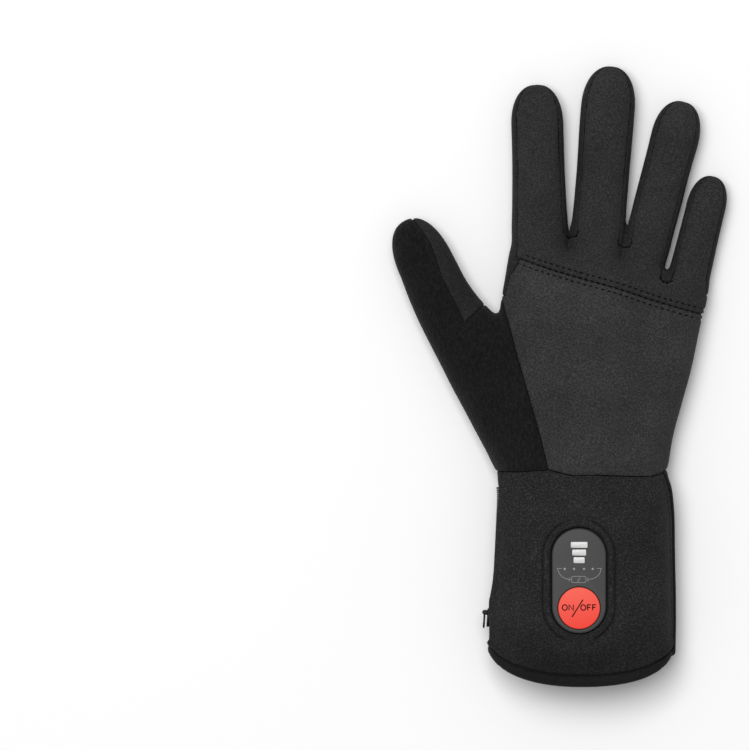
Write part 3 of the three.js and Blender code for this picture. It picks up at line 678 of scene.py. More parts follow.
def back_seam(points):
    """The number of the seam round the finger backs. The side strips end in a round between two fingers."""
    number = points[:, 2] - back_seam_height(points)
    for centre, radius, way in gap_ways():
        offset = points[:, :2] - centre
        along = offset @ way
        across = np.abs(offset @ (way[1], -way[0]))
        beyond = np.where(along > 7, along - 7, np.minimum(along, 0))
        strip = np.hypot(across, beyond) - radius
        number = np.where((across < 6) & (np.abs(along) < 9), np.minimum(number, strip), number)
        number = np.where((across < 7) & (along < 0) & (along > -14), np.maximum(number, strip), number)
    return number


print("height of the side seams (mm):", round(float(back_seam_height(np.array([[-20.0, 130, 0]]))[0]), 2))

# %% [markdown]
# Cutting the skin
#
# The skin is parted along each seam, one after the other. Rows of points to both sides of a seam let its
# edges roll down evenly later on, where the plain grid of the skin would leave a ragged edge.

# %% Cut the skin along its seams
SEAM_ROWS = (0.0, 0.75, -0.75, 1.6, -1.6)
KNUCKLE_ROWS = (0.0, 0.7, -0.7, 1.5, -1.5, 2.5, -2.5, 3.2, -3.2, 4.0, -4.0)


def cut_rows(points, faces, seam, where, rows=SEAM_ROWS):
    """Cuts along several rows beside one seam. seam and where are functions of the points."""
    number = seam(points)
    free = where(points, number)
    live = free[faces].sum(axis=1) > 1
    kept = faces[~live]
    near = faces[live]
    for row in rows:
        points, near, number, free = part_along(points, near, number, free, row)
    return points, np.concatenate([kept, near])


def hem_height(x):
    half = CUFF_WIDTH / 2 + 1
    share = np.clip(np.abs(x) / half, 0, 1)
    return -(CUFF_LENGTH - HEM_ROUND) - HEM_ROUND * (1 - share**2.2) ** (1 / 2.2)


def under(points):
    return points[:, 2] < FRONT_SEAM + 1


def above(points):
    return points[:, 2] > FRONT_SEAM - 1


def well_above(points):
    return points[:, 2] > FRONT_SEAM + 1


def between(points, axis, low, high):
    return (points[:, axis] > low) & (points[:, axis] < high)


print("rows beside a seam:", len(SEAM_ROWS), "and beside the knuckles:", len(KNUCKLE_ROWS))

# %% [markdown]
# The number of each seam
#
# A name for each number lets the same function cut the skin here and sort the triangles later.

# %% Number the seams
number_of = {
    "wrist": lambda p: line_distance(p, wrist_line),
    "front": lambda p: p[:, 2] - FRONT_SEAM,
    "back": back_seam,
    "side_start": lambda p: p[:, 1] - SIDE_START,
    "knuckle": lambda p: line_distance(p, knuckle_line),
    "thumb": lambda p: -line_distance(p, thumb_line),
    "thumb_side": lambda p: line_distance(p, thumb_side_line),
    "thumb_crotch": lambda p: line_distance(p, thumb_crotch_line),
    "thumb_base": lambda p: -line_distance(p, thumb_base_line),
    "index_pad": lambda p: digits["index"].local(p)[0] - (digits["index"].length - PAD_LENGTH),
    "thumb_pad": lambda p: digits["thumb"].local(p)[0] - (digits["thumb"].length - PAD_LENGTH),
    "fleece": lambda p: digits["thumb"].local(p)[1] + 6.5,
    "hem": lambda p: p[:, 1] - hem_height(p[:, 0]),
}
print("seams:", len(number_of))

# %% [markdown]
# The order of the cuts
#
# Each seam is cut only where it is sewn, so every row of the table says how far to both sides it reaches,
# how high or low it runs, and where it stops.

# %% Cut the hand
def in_thumb_base(points):
    return number_of["thumb_base"](points) > -1


# Where each seam of the hand is cut, in the order of cutting: its reach to both sides, a test of the height
# and a test of the rest.
HAND_CUTS = [
    ("wrist", 4, None, None),
    ("front", 4, None, lambda p: p[:, 1] > -1),
    ("back", 5, above, lambda p: (p[:, 1] > SIDE_START - 4) & (number_of["thumb_crotch"](p) < 4)),
    ("side_start", 3, above, lambda p: (p[:, 2] < 21) & (np.abs(p[:, 0] - 10) > 35)),
    ("knuckle", 7, well_above, None),
    ("thumb", 5, well_above, lambda p: between(p, 1, -2, 106)),
    ("thumb_side", 5, above, lambda p: (number_of["thumb_crotch"](p) > -1) & (p[:, 0] < -44)),
    ("thumb_crotch", 5, above, lambda p: (number_of["thumb_side"](p) > -1) & (p[:, 0] < -38)),
    ("thumb_base", 5, under, lambda p: between(p, 1, -2, 92)),
    ("index_pad", 5, under, lambda p: np.abs(digits["index"].local(p)[1]) < 15),
    ("thumb_pad", 5, under, in_thumb_base),
    ("fleece", 5, under, lambda p: in_thumb_base(p) & (number_of["thumb_pad"](p) < 1) & (p[:, 1] > -2)),
]


def cut_place(reach, *tests):
    """A function that says which points lie near a seam and pass every test."""

    def where(points, number):
        near = np.abs(number) < reach
        for test in tests:
            if test is not None:
                near &= test(points)
        return near

    return where


points, faces = skin_points, skin_faces
for seam, reach, *tests in HAND_CUTS:
    rows = KNUCKLE_ROWS if seam == "knuckle" else SEAM_ROWS
    points, faces = cut_rows(points, faces, number_of[seam], cut_place(reach, *tests), rows)
print("hand cut:", len(faces), "triangles")

# %% [markdown]
# Edges of the cuff
#
# The cuff is two halves with a bound edge. A zip parts them on the thumb side, and a slit on the other side
# has a dark layer behind it. The strap closes the slit from below.

# %% Cut the cuff
FLARE = 1.2
BACK_EDGE = 14.0
BACK_BAND = 21.5
SLIT_FLOOR = 8.0
PALM_EDGE = 0.402 * CUFF_WIDTH
TAPE_TOP = 23.3
TAPE_BOTTOM = 12.3
WELT_INNER = 0.7
WELT_OUTER = 4.3


def flare_edge(points):
    """The bound edge on the little-finger side stands out a little from the wall above it."""
    x, y, z = points.T
    cuff = np.clip((-y - 1) / 6, 0, 1) * (x > 20)
    wall_part = np.clip((z - BACK_BAND) / 1.2, 0, 1) * np.clip((36 - z) / 12, 0, 1)
    moved = points.copy()
    moved[:, 0] -= FLARE * cuff * wall_part
    return moved


def level(axis, height):
    return lambda p: p[:, axis] - height


def below(p):
    return line_distance(p, wrist_line) < 1


def window_number(p):
    return stadium_distance(p[:, 0], p[:, 1], FACE_RADIUS, FACE_STRAIGHT)


def low_down(points):
    return points[:, 1] < -60


def facing_up(points):
    return points[:, 2] > 30


def on_right(points):
    return points[:, 0] > 25


def on_left(points):
    return points[:, 0] < -25


points, faces = cut_rows(points, faces, number_of["hem"], cut_place(12, low_down), (0.0, 0.8, 1.8))
inside_hem = number_of["hem"](points[faces].mean(axis=1)) > 0
faces = faces[inside_hem]
strap_skin = (points, faces)
THREE_ROWS = (0.0, 0.7, -0.7)
HEM_ROWS = (0.0, 0.7, -0.7, 1.5, -1.5, 2.3, 3.1)
WELT_ROWS = (0.0, 0.6, -0.6, 1.3, -1.3)
CUFF_CUTS = [
    (lambda p: number_of["hem"](p) - BINDING_WIDTH, cut_place(12, low_down), HEM_ROWS),
    (level(0, PALM_EDGE), cut_place(4, below, lambda p: p[:, 2] < SLIT_FLOOR + 1), THREE_ROWS),
    (lambda p: window_number(p) - WELT_INNER, cut_place(4, facing_up), WELT_ROWS),
    (lambda p: window_number(p) - WELT_OUTER, cut_place(4, facing_up), WELT_ROWS),
]
for height in (SLIT_FLOOR, BACK_EDGE, BACK_BAND):
    CUFF_CUTS.append((level(2, height), cut_place(3, below, on_right), THREE_ROWS))
for height in (TAPE_BOTTOM, ZIP_HEIGHT, TAPE_TOP):
    CUFF_CUTS.append((level(2, height), cut_place(3, below, on_left), THREE_ROWS))
for seam, where, rows in CUFF_CUTS:
    points, faces = cut_rows(points, faces, seam, where, rows)
points = flare_edge(points)
normals = normals_of(points, faces)
print("all cut:", len(faces), "triangles")

# %% [markdown]
# Finishes
#
# The cloth is neoprene with a fine knitted face: a dark grey that is a little uneven, a fine grain that
# catches light in specks, and almost no gloss. The thumb's back is a short-pile fleece, darker and rougher,
# whose pile lies in slanting tufts. The bindings are a stretch tape. Each finish is made of noise in the
# object's own coordinates, so it needs no unwrapping.

# %% Helpers for shader nodes
def link(tree, out_node, out_name, in_node, in_name):
    tree.links.new(out_node.outputs[out_name], in_node.inputs[in_name])


def new_finish(name):
    material = bpy.data.materials.new(name)
    material.use_nodes = True
    tree = material.node_tree
    shader = tree.nodes["Principled BSDF"]
    place = tree.nodes.new("ShaderNodeTexCoord")
    return material, tree, shader, place


def noise(tree, place, scale, detail=2.0, roughness=0.55, output="Object"):
    node = tree.nodes.new("ShaderNodeTexNoise")
    node.inputs["Scale"].default_value = scale
    node.inputs["Detail"].default_value = detail
    node.inputs["Roughness"].default_value = roughness
    link(tree, place, output, node, "Vector")
    return node


def ramp(tree, source, output, stops):
    node = tree.nodes.new("ShaderNodeValToRGB")
    while len(node.color_ramp.elements) < len(stops):
        node.color_ramp.elements.new(0.5)
    for element, (position, shade) in zip(node.color_ramp.elements, stops):
        element.position = position
        element.color = (*shade, 1)
    link(tree, source, output, node, "Fac")
    return node


def multiply(tree, first, second):
    """One colour times another. first and second are outputs."""
    mix = tree.nodes.new("ShaderNodeMix")
    mix.data_type = "RGBA"
    mix.blend_type = "MULTIPLY"
    mix.inputs["Factor"].default_value = 1
    tree.links.new(first, mix.inputs["A"])
    tree.links.new(second, mix.inputs["B"])
    return mix.outputs["Result"]


def tinted(shade, factor):
    return tuple(min(factor * c, 1) for c in shade)


def greys(*stops):
    """A ramp's stops from places and brightnesses."""
    return [(position, (value,) * 3) for position, value in stops]


def bumped(tree, shader, height, strength, distance):
    bump = tree.nodes.new("ShaderNodeBump")
    bump.inputs["Strength"].default_value = strength
    bump.inputs["Distance"].default_value = distance
    tree.links.new(height, bump.inputs["Height"])
    link(tree, bump, "Normal", shader, "Normal")


def slanting(tree, place, angle, stretch):
    """Coordinates turned in plan and stretched, for streaks."""
    turned = tree.nodes.new("ShaderNodeMapping")
    turned.inputs["Rotation"].default_value = (0, 0, angle)
    turned.inputs["Scale"].default_value = stretch
    link(tree, place, "Object", turned, "Vector")
    return turned


print("a ramp's stops:", greys((0.3, 0.5), (0.7, 1.5)))

# %% [markdown]
# Knit and fleece
#
# A photograph of cloth could be wrapped on the panels, but it would need unwrapping and would repeat.
# Here a fine noise makes the specks of the knit, a wide one its unevenness, and cells its relief. The back
# is the lightest of the cloths and the fleece the darkest.

# %% Make cloth finishes
def cloth_finish(name, shade, grain=0.6, rough=0.9, speck=2.0, sheen=0.02, tufts=False, patch=0.16):
    """shade is the middle colour, grain the knit's depth, speck how much lighter its specks are.
    sheen is its weight at grazing angles and patch how uneven the colour is."""
    material, tree, shader, place = new_finish(name)
    fine = noise(tree, place, 1300, 3.0, 0.75)
    wide = noise(tree, place, 38, 3.0)
    fine_stops = [(0.34, tinted(shade, 0.5)), (0.5, shade), (0.66, tinted(shade, speck))]
    fine_shade = ramp(tree, fine, "Fac", fine_stops)
    wide_shade = ramp(tree, wide, "Fac", greys((0.3, 1 - patch), (0.7, 1 + patch)))
    colour = multiply(tree, fine_shade.outputs["Color"], wide_shade.outputs["Color"])
    if tufts:
        turned = slanting(tree, place, 0.6, (2.2, 1, 1))
        streaks = noise(tree, turned, 430, 2.0, 0.6, "Vector")
        streak_shade = ramp(tree, streaks, "Fac", greys((0.36, 0.62), (0.66, 1.45)))
        colour = multiply(tree, colour, streak_shade.outputs["Color"])
    tree.links.new(colour, shader.inputs["Base Color"])
    knit = tree.nodes.new("ShaderNodeTexVoronoi")
    knit.inputs["Scale"].default_value = 700 if tufts else 1300
    link(tree, place, "Object", knit, "Vector")
    height = tree.nodes.new("ShaderNodeMath")
    height.operation = "ADD"
    link(tree, knit, "Distance", height, 0)
    link(tree, streaks if tufts else fine, "Fac", height, 1)
    bumped(tree, shader, height.outputs["Value"], grain, 0.0006 if tufts else 0.0003)
    rough_shade = ramp(tree, fine, "Fac", greys((0.3, rough - 0.12), (0.7, min(rough + 0.1, 1))))
    tree.links.new(rough_shade.outputs["Color"], shader.inputs["Roughness"])
    shader.inputs["Sheen Weight"].default_value = sheen
    shader.inputs["Sheen Roughness"].default_value = 0.6
    shader.inputs["Specular IOR Level"].default_value = 0.1
    return material


back_knit = cloth_finish("back_knit", (0.0275, 0.0275, 0.028))
finger_knit = cloth_finish("finger_knit", (0.0215, 0.0215, 0.022))
side_knit = cloth_finish("side_knit", (0.0155, 0.0155, 0.016))
palm_knit = cloth_finish("palm_knit", (0.020, 0.020, 0.0205))
touch_knit = cloth_finish("touch_knit", (0.034, 0.029, 0.026), rough=0.7)
thumb_fleece = cloth_finish(
    "thumb_fleece", (0.0058, 0.0058, 0.006), rough=0.95, speck=1.9, sheen=0.04, tufts=True
)
cuff_knit = cloth_finish("cuff_knit", (0.0135, 0.0135, 0.0138), speck=3.0)
binding_tape = cloth_finish("binding_tape", (0.0068, 0.0068, 0.007), grain=0.35, rough=0.8)
gusset_cloth = cloth_finish("gusset_cloth", (0.006, 0.006, 0.0065))
print("cloth finishes:", len(bpy.data.materials))

# %% [markdown]
# Hard and printed finishes
#
# The controller is a satin moulded plastic with a very fine spark-eroded grain, and its button a satin red
# silicone whose red is painted lighter towards the wrist and darker towards the cuff's edge, as light and
# shade.
# The zip's slider is black enamel over metal. The grip lines are a raised glossy silicone, and the stitches
# a twisted black thread.

# %% Make hard finishes
def moulded_finish(name, shade, rough, grain, scale=2600, uneven=0.06, coat=0.0, level=0.5):
    """A moulded or enamelled surface: shade is its colour and grain the depth of its surface texture."""
    material, tree, shader, place = new_finish(name)
    fine = noise(tree, place, scale, 2.0)
    wide = noise(tree, place, 60, 2.0)
    stops = [(0.3, tinted(shade, 1 - uneven)), (0.7, tinted(shade, 1 + uneven))]
    wide_shade = ramp(tree, wide, "Fac", stops)
    link(tree, wide_shade, "Color", shader, "Base Color")
    rough_shade = ramp(tree, fine, "Fac", greys((0.3, rough - 0.05), (0.7, rough + 0.05)))
    link(tree, rough_shade, "Color", shader, "Roughness")
    bumped(tree, shader, fine.outputs["Fac"], grain, 0.0001)
    shader.inputs["Coat Weight"].default_value = coat
    shader.inputs["Coat Roughness"].default_value = 0.12
    shader.inputs["Specular IOR Level"].default_value = level
    return material


print("finishes so far:", len(bpy.data.materials))

# %% [markdown]
# Painted light and shade along a part
#
# These are painted light and shade: the red of the button is painted darker towards the hem, the lights are
# painted brighter on one side, and the cuff is painted darker at its hem. A ramp along one axis does this,
# and it multiplies the colour that is there. Black plastic in a white room looks grey when it mirrors the
# room, so the dark finishes mirror little.

# %% The hard finishes
def shade_along(material, axis, low, high, first, last):
    """Paints light and shade on a finish: runs its colour from first to last between two places along an
    axis, in metres.
    """
    tree = material.node_tree
    shader = tree.nodes["Principled BSDF"]
    place = tree.nodes["Texture Coordinate"]
    parts = tree.nodes.new("ShaderNodeSeparateXYZ")
    link(tree, place, "Object", parts, "Vector")
    spread = tree.nodes.new("ShaderNodeMapRange")
    spread.inputs["From Min"].default_value = low
    spread.inputs["From Max"].default_value = high
    link(tree, parts, axis, spread, "Value")
    colours = ramp(tree, spread, "Result", [(0, first), (1, last)])
    before = shader.inputs["Base Color"].links[0].from_socket
    # The ramp's painted light and shade multiplies the colour that is there.
    uneven = multiply(tree, colours.outputs["Color"], before)
    tree.links.new(uneven, shader.inputs["Base Color"])


# Painted shade: the cuff's colour is darkened to 0.6 towards the hem, where its lower part turns away from
# the light.
hem_y = (WRIST_Y - CUFF_LENGTH) * MM
shade_along(cuff_knit, "Y", hem_y + 0.006, hem_y + 0.032, (0.6,) * 3, (1,) * 3)
satin_plastic = moulded_finish("satin_plastic", (0.038, 0.038, 0.0385), 0.5, 0.2, level=0.25)
red_silicone = moulded_finish("red_silicone", (1, 1, 1), 0.55, 0.2, uneven=0.02, level=0.3)
# Painted light and shade: the button's red is painted lighter towards the wrist and darker towards the hem.
button_y = (WRIST_Y - FACE_DROP - BUTTON_DROP) * MM
shade_along(red_silicone, "Y", button_y - 0.01, button_y + 0.01, (0.81, 0.042, 0.024), (0.83, 0.095, 0.06))
lens_white = moulded_finish("lens_white", (1, 1, 1), 0.3, 0.1, uneven=0.02, coat=0.3)
# Painted light: each lens is painted brighter towards the little-finger side and darker towards the thumb.
lens_x = (WRIST_X + FACE_OFFSET) * MM
shade_along(lens_white, "X", lens_x - 0.004, lens_x + 0.004, (0.42, 0.42, 0.42), (0.6, 0.6, 0.59))
zip_enamel = moulded_finish("zip_enamel", (0.004, 0.004, 0.0042), 0.4, 0.1, level=0.12)
zip_nylon = moulded_finish("zip_nylon", (0.008, 0.008, 0.0085), 0.55, 0.2, level=0.15)
grip_silicone = moulded_finish("grip_silicone", (0.009, 0.009, 0.0095), 0.3, 0.15, coat=0.2)
black_thread = moulded_finish(
    "black_thread", (0.003, 0.003, 0.0032), 0.9, 0.6, scale=3500, uneven=0.3, level=0.02
)
light_ink = moulded_finish("light_ink", (0.27, 0.27, 0.27), 0.6, 0.1, level=0.1)
dark_ink = moulded_finish("dark_ink", (0.012, 0.004, 0.004), 0.8, 0.1, level=0.0)
print("all finishes:", len(bpy.data.materials))

# %% [markdown]
# From a patch of skin to a sewn panel
#
# A panel has two faces and a thickness. Its outer face is the patch of skin, rolled down at the edges where
# the stitches pull it in. The inner face lies the cloth's thickness below, and a rim closes the two. A
# Solidify modifier could do that, but not the rolled edges, which need the distance to the panel's edge.

# %% Add a piece to the scene
def add_piece(name, points_mm, polygons, finish, slot, body="glove", replaces=(), sharp=40):
    """A mesh object from millimetres in the wrist's frame, riding on a body."""
    placed = (np.asarray(points_mm) + (WRIST_X, WRIST_Y, 0)) * MM
    mesh = bpy.data.meshes.new(name)
    mesh.from_pydata(placed.tolist(), [], [list(p) for p in polygons])
    mesh.polygons.foreach_set("use_smooth", [True] * len(mesh.polygons))
    mesh.set_sharp_from_angle(angle=math.radians(sharp))
    mesh.materials.append(finish)
    piece = bpy.data.objects.new(name, mesh)
    bpy.context.scene.collection.objects.link(piece)
    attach(piece, body)
    if replaces:
        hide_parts(*replaces)
    print(name, "triangles:", sum(len(p) - 2 for p in polygons))


print("pieces are placed from (mm):", round(WRIST_X, 2), round(WRIST_Y, 2))

# %% [markdown]
# The border of a patch
#
# A panel rolls down towards its border, so each of its points needs the distance to it. A tree of the
# border's points finds the nearest one, and a coarse grid says which points are near enough to ask.

# %% Measure from the border
def border_edges(patch):
    """Directed edges that only one triangle has."""
    directed = np.concatenate([patch[:, [0, 1]], patch[:, [1, 2]], patch[:, [2, 0]]])
    ends = np.sort(directed, axis=1)
    key = ends[:, 0] * (patch.max() + 1) + ends[:, 1]
    _, first, count = np.unique(key, return_index=True, return_counts=True)
    return directed[first[count == 1]]


def edge_distance(patch_points, border, reach):
    """Distance of each point from the patch's border, up to reach."""
    ends = patch_points[border]
    samples = np.concatenate([ends[:, 0], ends.mean(axis=1)])
    tree = KDTree(len(samples))
    for i, sample in enumerate(samples):
        tree.insert(sample, i)
    tree.balance()
    low_cell = np.floor(patch_points.min(axis=0) / reach).astype(int) - 1
    shape = np.floor(patch_points.max(axis=0) / reach).astype(int) - low_cell + 2
    near = np.zeros(shape, bool)
    cells = np.floor(samples / reach).astype(int) - low_cell
    for step in np.ndindex(3, 3, 3):
        near[tuple((cells + step - 1).T)] = True
    own = np.floor(patch_points / reach).astype(int) - low_cell
    distance = np.full(len(patch_points), float(reach))
    for i in np.flatnonzero(near[tuple(own.T)]):
        distance[i] = min(reach, tree.find(patch_points[i])[2])
    return distance


def border_paths(border):
    """The border's edges as paths of point numbers."""
    after = dict(border.tolist())
    paths = []
    while after:
        path = list(after.popitem())
        while path[-1] in after:
            path.append(after.pop(path[-1]))
        paths.append(path)
    return paths


print("edges round a triangle:", len(border_edges(np.array([[0, 1, 2]]))))

# %% [markdown]
# Outer face, inner face and rim
#
# The roll is a quarter of an ellipse: steep at the seam and level where it meets the flat of the panel.

# %% Make a panel
LOWEST = 0.12
borders = {}


def rolled(distance, roll, drop):
    share = np.clip(distance / roll, 0, 1)
    return drop * (1 - np.sqrt(np.maximum(1 - (1 - share) ** 2, 0)))


def measure(value, base):
    """A number, or a function of the points."""
    return value(base) if callable(value) else np.full(len(base), float(value))


def panel(
    name, chosen, finish, slot, rise=0.0, depth=WALL, roll=1.6, drop=0.95, inner_drop=0.0, relief=0.0,
    skin=None,
):
    """A closed panel over the chosen triangles. rise, depth, drop and relief may be functions of the points.
    roll is how far the edge rolls in from the border, and drop how deep. Returns its outer face."""
    skin_parts = skin or (points, faces, normals)
    used, local = np.unique(skin_parts[1][chosen], return_inverse=True)
    patch = local.reshape(-1, 3)
    base = skin_parts[0][used]
    outward = skin_parts[2][used]
    border = border_edges(patch)
    distance = edge_distance(base, border, roll)
    lift = measure(rise, base)
    sink = rolled(distance, roll, measure(drop, base)) + measure(relief, base)
    outer = base + outward * (lift - sink)[:, None]
    inner_lift = lift - measure(depth, base) + rolled(distance, roll, inner_drop)
    inner = base + outward * inner_lift[:, None]
    outer[:, 2] = np.maximum(outer[:, 2], LOWEST)
    inner[:, 2] = np.maximum(inner[:, 2], LOWEST)
    count = len(base)
    rim = np.column_stack([border[:, 1], border[:, 0], border[:, 0] + count, border[:, 1] + count])
    polygons = patch.tolist() + (patch[:, ::-1] + count).tolist() + rim.tolist()
    borders[name] = [outer[path] for path in border_paths(border)]
    sheets = np.concatenate([outer, inner])
    add_piece(f"{name}_cloth", sheets, polygons, finish, slot, replaces=(name,), sharp=50)
    return BVHTree.FromPolygons(outer.tolist(), patch.tolist())


print("drop half way in a roll of 1 mm:", round(float(rolled(np.array([0.5]), 1.0, 1.0)[0]), 3))

# %% [markdown]
# Which triangle belongs to which panel
#
# The seams' numbers at the middle of each triangle say on which side of each seam it lies.

# %% Sort the triangles
middle = points[faces].mean(axis=1)
mx, my, mz = middle.T
side = {name: function(middle) for name, function in number_of.items()}
is_hand = side["wrist"] > 0
is_front = is_hand & (side["front"] < 0)
is_above = is_hand & (side["front"] > 0)
in_thumb = (side["thumb"] > 0) & (my < SIDE_START)
in_thumb |= (mx < -46) & (my > 60)
beside_thumb = (side["thumb"] > 0) & (my < 103)
in_strip = is_above & (my > SIDE_START) & ~in_thumb & ((side["back"] < 0) | beside_thumb)
in_base = is_front & (side["thumb_base"] > 0)
is_side_piece = is_above & in_thumb & (side["thumb_side"] > 0) & (side["thumb_crotch"] > 0)
index_across = np.abs(digits["index"].local(middle)[1])
in_index_pad = is_front & ~in_base & (side["index_pad"] > 0) & (index_across < 14.4)
in_thumb_pad = in_base & (side["thumb_pad"] > 0)
in_turned_fleece = in_base & ~in_thumb_pad & (side["fleece"] < 0)
is_back = is_above & ~in_thumb & ~in_strip
is_cuff = side["wrist"] < 0
in_hem = is_cuff & (side["hem"] < BINDING_WIDTH)
right = mx > 0
window = window_number(middle)
on_top = facing_up(middle)
in_back_half = is_cuff & np.where(right, mz > BACK_EDGE, mz > ZIP_HEIGHT)
in_palm_half = is_cuff & np.where(right, mz < SLIT_FLOOR, mz < ZIP_HEIGHT)
in_back_band = in_back_half & (in_hem | (right & (mz < BACK_BAND)))
in_palm_band = in_palm_half & (in_hem | (mx > PALM_EDGE))
in_back_cloth = in_back_half & ~in_back_band & ~(on_top & (window < WELT_OUTER)) & (right | (mz > TAPE_TOP))
in_palm_cloth = in_palm_half & ~in_palm_band & (right | (mz < TAPE_BOTTOM))
in_welt = is_cuff & on_top & (window > WELT_INNER) & (window < WELT_OUTER)
in_gusset = is_cuff & right & (mz > SLIT_FLOOR - 6.4) & (mz < BACK_EDGE + 4.2)
in_tape = is_cuff & ~right & ~in_hem & (mz > TAPE_BOTTOM) & (mz < TAPE_TOP)
print("triangles on the hand:", int(is_hand.sum()), "on the cuff:", int(is_cuff.sum()))

# %% [markdown]
# The hand's panels
#
# Three rows of stitches hold the knuckle seam down. The needle pulls the cloth in most where it goes
# through, so each row is a shallow groove with a pit every 3 mm.

# %% Sew the hand
STITCH_PITCH = 3.0
ROW_OFFSETS = (-2.5, 0.0, 2.5)
ROW_SINK = 0.3
PIT_SINK = 0.75
ROW_REACH = 0.75


def knuckle_relief(base):
    away, along = place_on_line(base, knuckle_line)
    pit = 0.5 + 0.5 * np.cos(2 * np.pi * along / STITCH_PITCH)
    sink = np.zeros(len(base))
    for row in ROW_OFFSETS:
        sink += (ROW_SINK + PIT_SINK * pit) * np.exp(-(((away - row) / ROW_REACH) ** 2))
    on_thumb = -line_distance(base, thumb_line) > 0.5
    return np.where(on_thumb | (base[:, 2] < 8), 0, sink)


def seam_pull(base):
    """The cloth puckers a little beside the wrist seam."""
    away, along = place_on_line(base, wrist_line)
    pucker = 0.5 + 0.5 * np.sin(along / 1.3) * np.sin(along / 3.1)
    return 0.45 * pucker * np.exp(-((away / 1.5) ** 2))


def hand_relief(base):
    return knuckle_relief(base) + seam_pull(base)


past_knuckles = side["knuckle"] > 0
finger_cloth = is_back & past_knuckles
back_cloth = is_back & ~past_knuckles
finger_hit = panel("finger_backs", finger_cloth, finger_knit, "finger_cloth", relief=knuckle_relief)
back_hit = panel("hand_back", back_cloth, back_knit, "back_cloth", drop=0.8, relief=hand_relief)
panel("side_walls", in_strip, side_knit, "side_cloth")
palm_hit = panel("palm_panel", is_front & ~in_base & ~in_index_pad, palm_knit, "grip_cloth")
panel("index_touch_pad", in_index_pad, touch_knit, "touch_cloth", roll=1.2, drop=0.5)
panel("thumb_back", (is_above & in_thumb & ~is_side_piece) | in_turned_fleece, thumb_fleece, "fleece")
panel("thumb_side", is_side_piece, side_knit, "side_cloth")
base_hit = panel("thumb_front", in_base & ~in_thumb_pad & ~in_turned_fleece, palm_knit, "grip_cloth")
panel("thumb_touch_pad", in_thumb_pad, touch_knit, "touch_cloth", roll=1.2, drop=0.5)

# %% [markdown]
# The cuff's panels
#
# A binding is a tape folded round the raw edge. It is thicker than the cloth it holds, so it stands proud
# on both faces, and the cloth beside it is pushed up into a small roll. The welt round the controller's
# window is a soft roll whose outer groove fades at its top and bottom.

# %% Sew the cuff
WELT_RISE = 0.8
WELT_DROP = 1.6
WELT_GROOVE = 1.4
LEAST_DROP = 0.04


def groove_shown(base):
    """1 beside the controller and 0 at the middle of the welt's top and bottom."""
    return np.clip((np.abs(base[:, 0] - FACE_OFFSET) - 5.0) / 3.5, 0, 1)


def welt_share(base):
    near_window = np.clip((2.6 - window_number(base)) / 1.4, 0, 1)
    return np.maximum(groove_shown(base), near_window)


def cuff_drop(base):
    near_welt = window_number(base) < 8
    groove = WELT_GROOVE * groove_shown(base) + LEAST_DROP
    return np.where(near_welt & facing_up(base), groove, 1.1)


SLIDER_DROP = 69.0
BINDING_ROLL = 1.0
BAND_ROLL = 0.7
FLAP_RISE = 0.7
SLIDER_BULGE = 1.5
WINDOW_MOUND = 1.2
HEM_CREASE = 0.9


def hump(value, centre, width):
    return np.exp(-(((value - centre) / width) ** 2))


def outside_window(base):
    """Distance outside the welt of the controller's window, far off on the palm side."""
    return np.where(base[:, 2] > 25, np.maximum(window_number(base), 0), 1000.0)


def cuff_relief(base):
    """The roll beside the bindings and the flap over the zip, as rises, and the pull of the wrist seam."""
    y = base[:, 1]
    from_hem = number_of["hem"](base) - BINDING_WIDTH
    roll = BINDING_ROLL * np.sin(np.pi * np.clip(from_hem / 3.4, 0, 1))
    from_band = np.where(on_right(base), (base[:, 2] - BACK_BAND) / 3, 0)
    roll = np.maximum(roll, BAND_ROLL * np.sin(np.pi * np.clip(from_band, 0, 1)))
    flap = np.clip((TAPE_TOP + 5 - base[:, 2]) / 5, 0, 1) * np.clip((-y - 2) / 5, 0, 1)
    flap = flap * on_left(base)
    bulge = flap * (FLAP_RISE + SLIDER_BULGE * hump(y, 6 - SLIDER_DROP, 9)) + 0.8 * flap**2
    away = outside_window(base)
    mound = WINDOW_MOUND * hump(away, 11, 5.5)
    crease = HEM_CREASE * hump(away, 22, 6) * np.clip((-y - 72) / 10, 0, 1)
    return seam_pull(base) - roll - bulge - mound + crease


panel("cuff_back", in_back_cloth, cuff_knit, "cuff_cloth", drop=cuff_drop, relief=cuff_relief)
panel("cuff_palm", in_palm_cloth, cuff_knit, "cuff_cloth")
BAND = dict(finish=binding_tape, slot="binding", roll=2.2, inner_drop=1.1)
panel("cuff_back_binding", in_back_band, rise=0.75, depth=WALL + 1.5, drop=1.7, **BAND)
panel("cuff_palm_binding", in_palm_band, rise=0.7, depth=WALL + 1.4, drop=1.2, **BAND)
panel("cuff_gusset", in_gusset, gusset_cloth, "gusset", rise=-3.1, depth=1.2, roll=0.8, drop=0.3)
panel("zip_tape", in_tape, gusset_cloth, "gusset", rise=-0.8, depth=1.2, roll=0.6, drop=0.2)
panel(
    "window_welt", in_welt, cuff_knit, "cuff_cloth", rise=lambda base: WELT_RISE * welt_share(base),
    depth=WALL + 0.6, roll=1.95, drop=lambda base: WELT_DROP * welt_share(base) + LEAST_DROP,
)

# %% [markdown]
# The strap
#
# The strap lies across the cuff's palm side and closes the slit on the little-finger side. It comes out
# from under the back's bound edge, runs round the side and ends in a broad rounded end near the thumb. It is
# cut from the cuff's own skin, pushed out by the strap's thickness, so it follows the cuff everywhere.

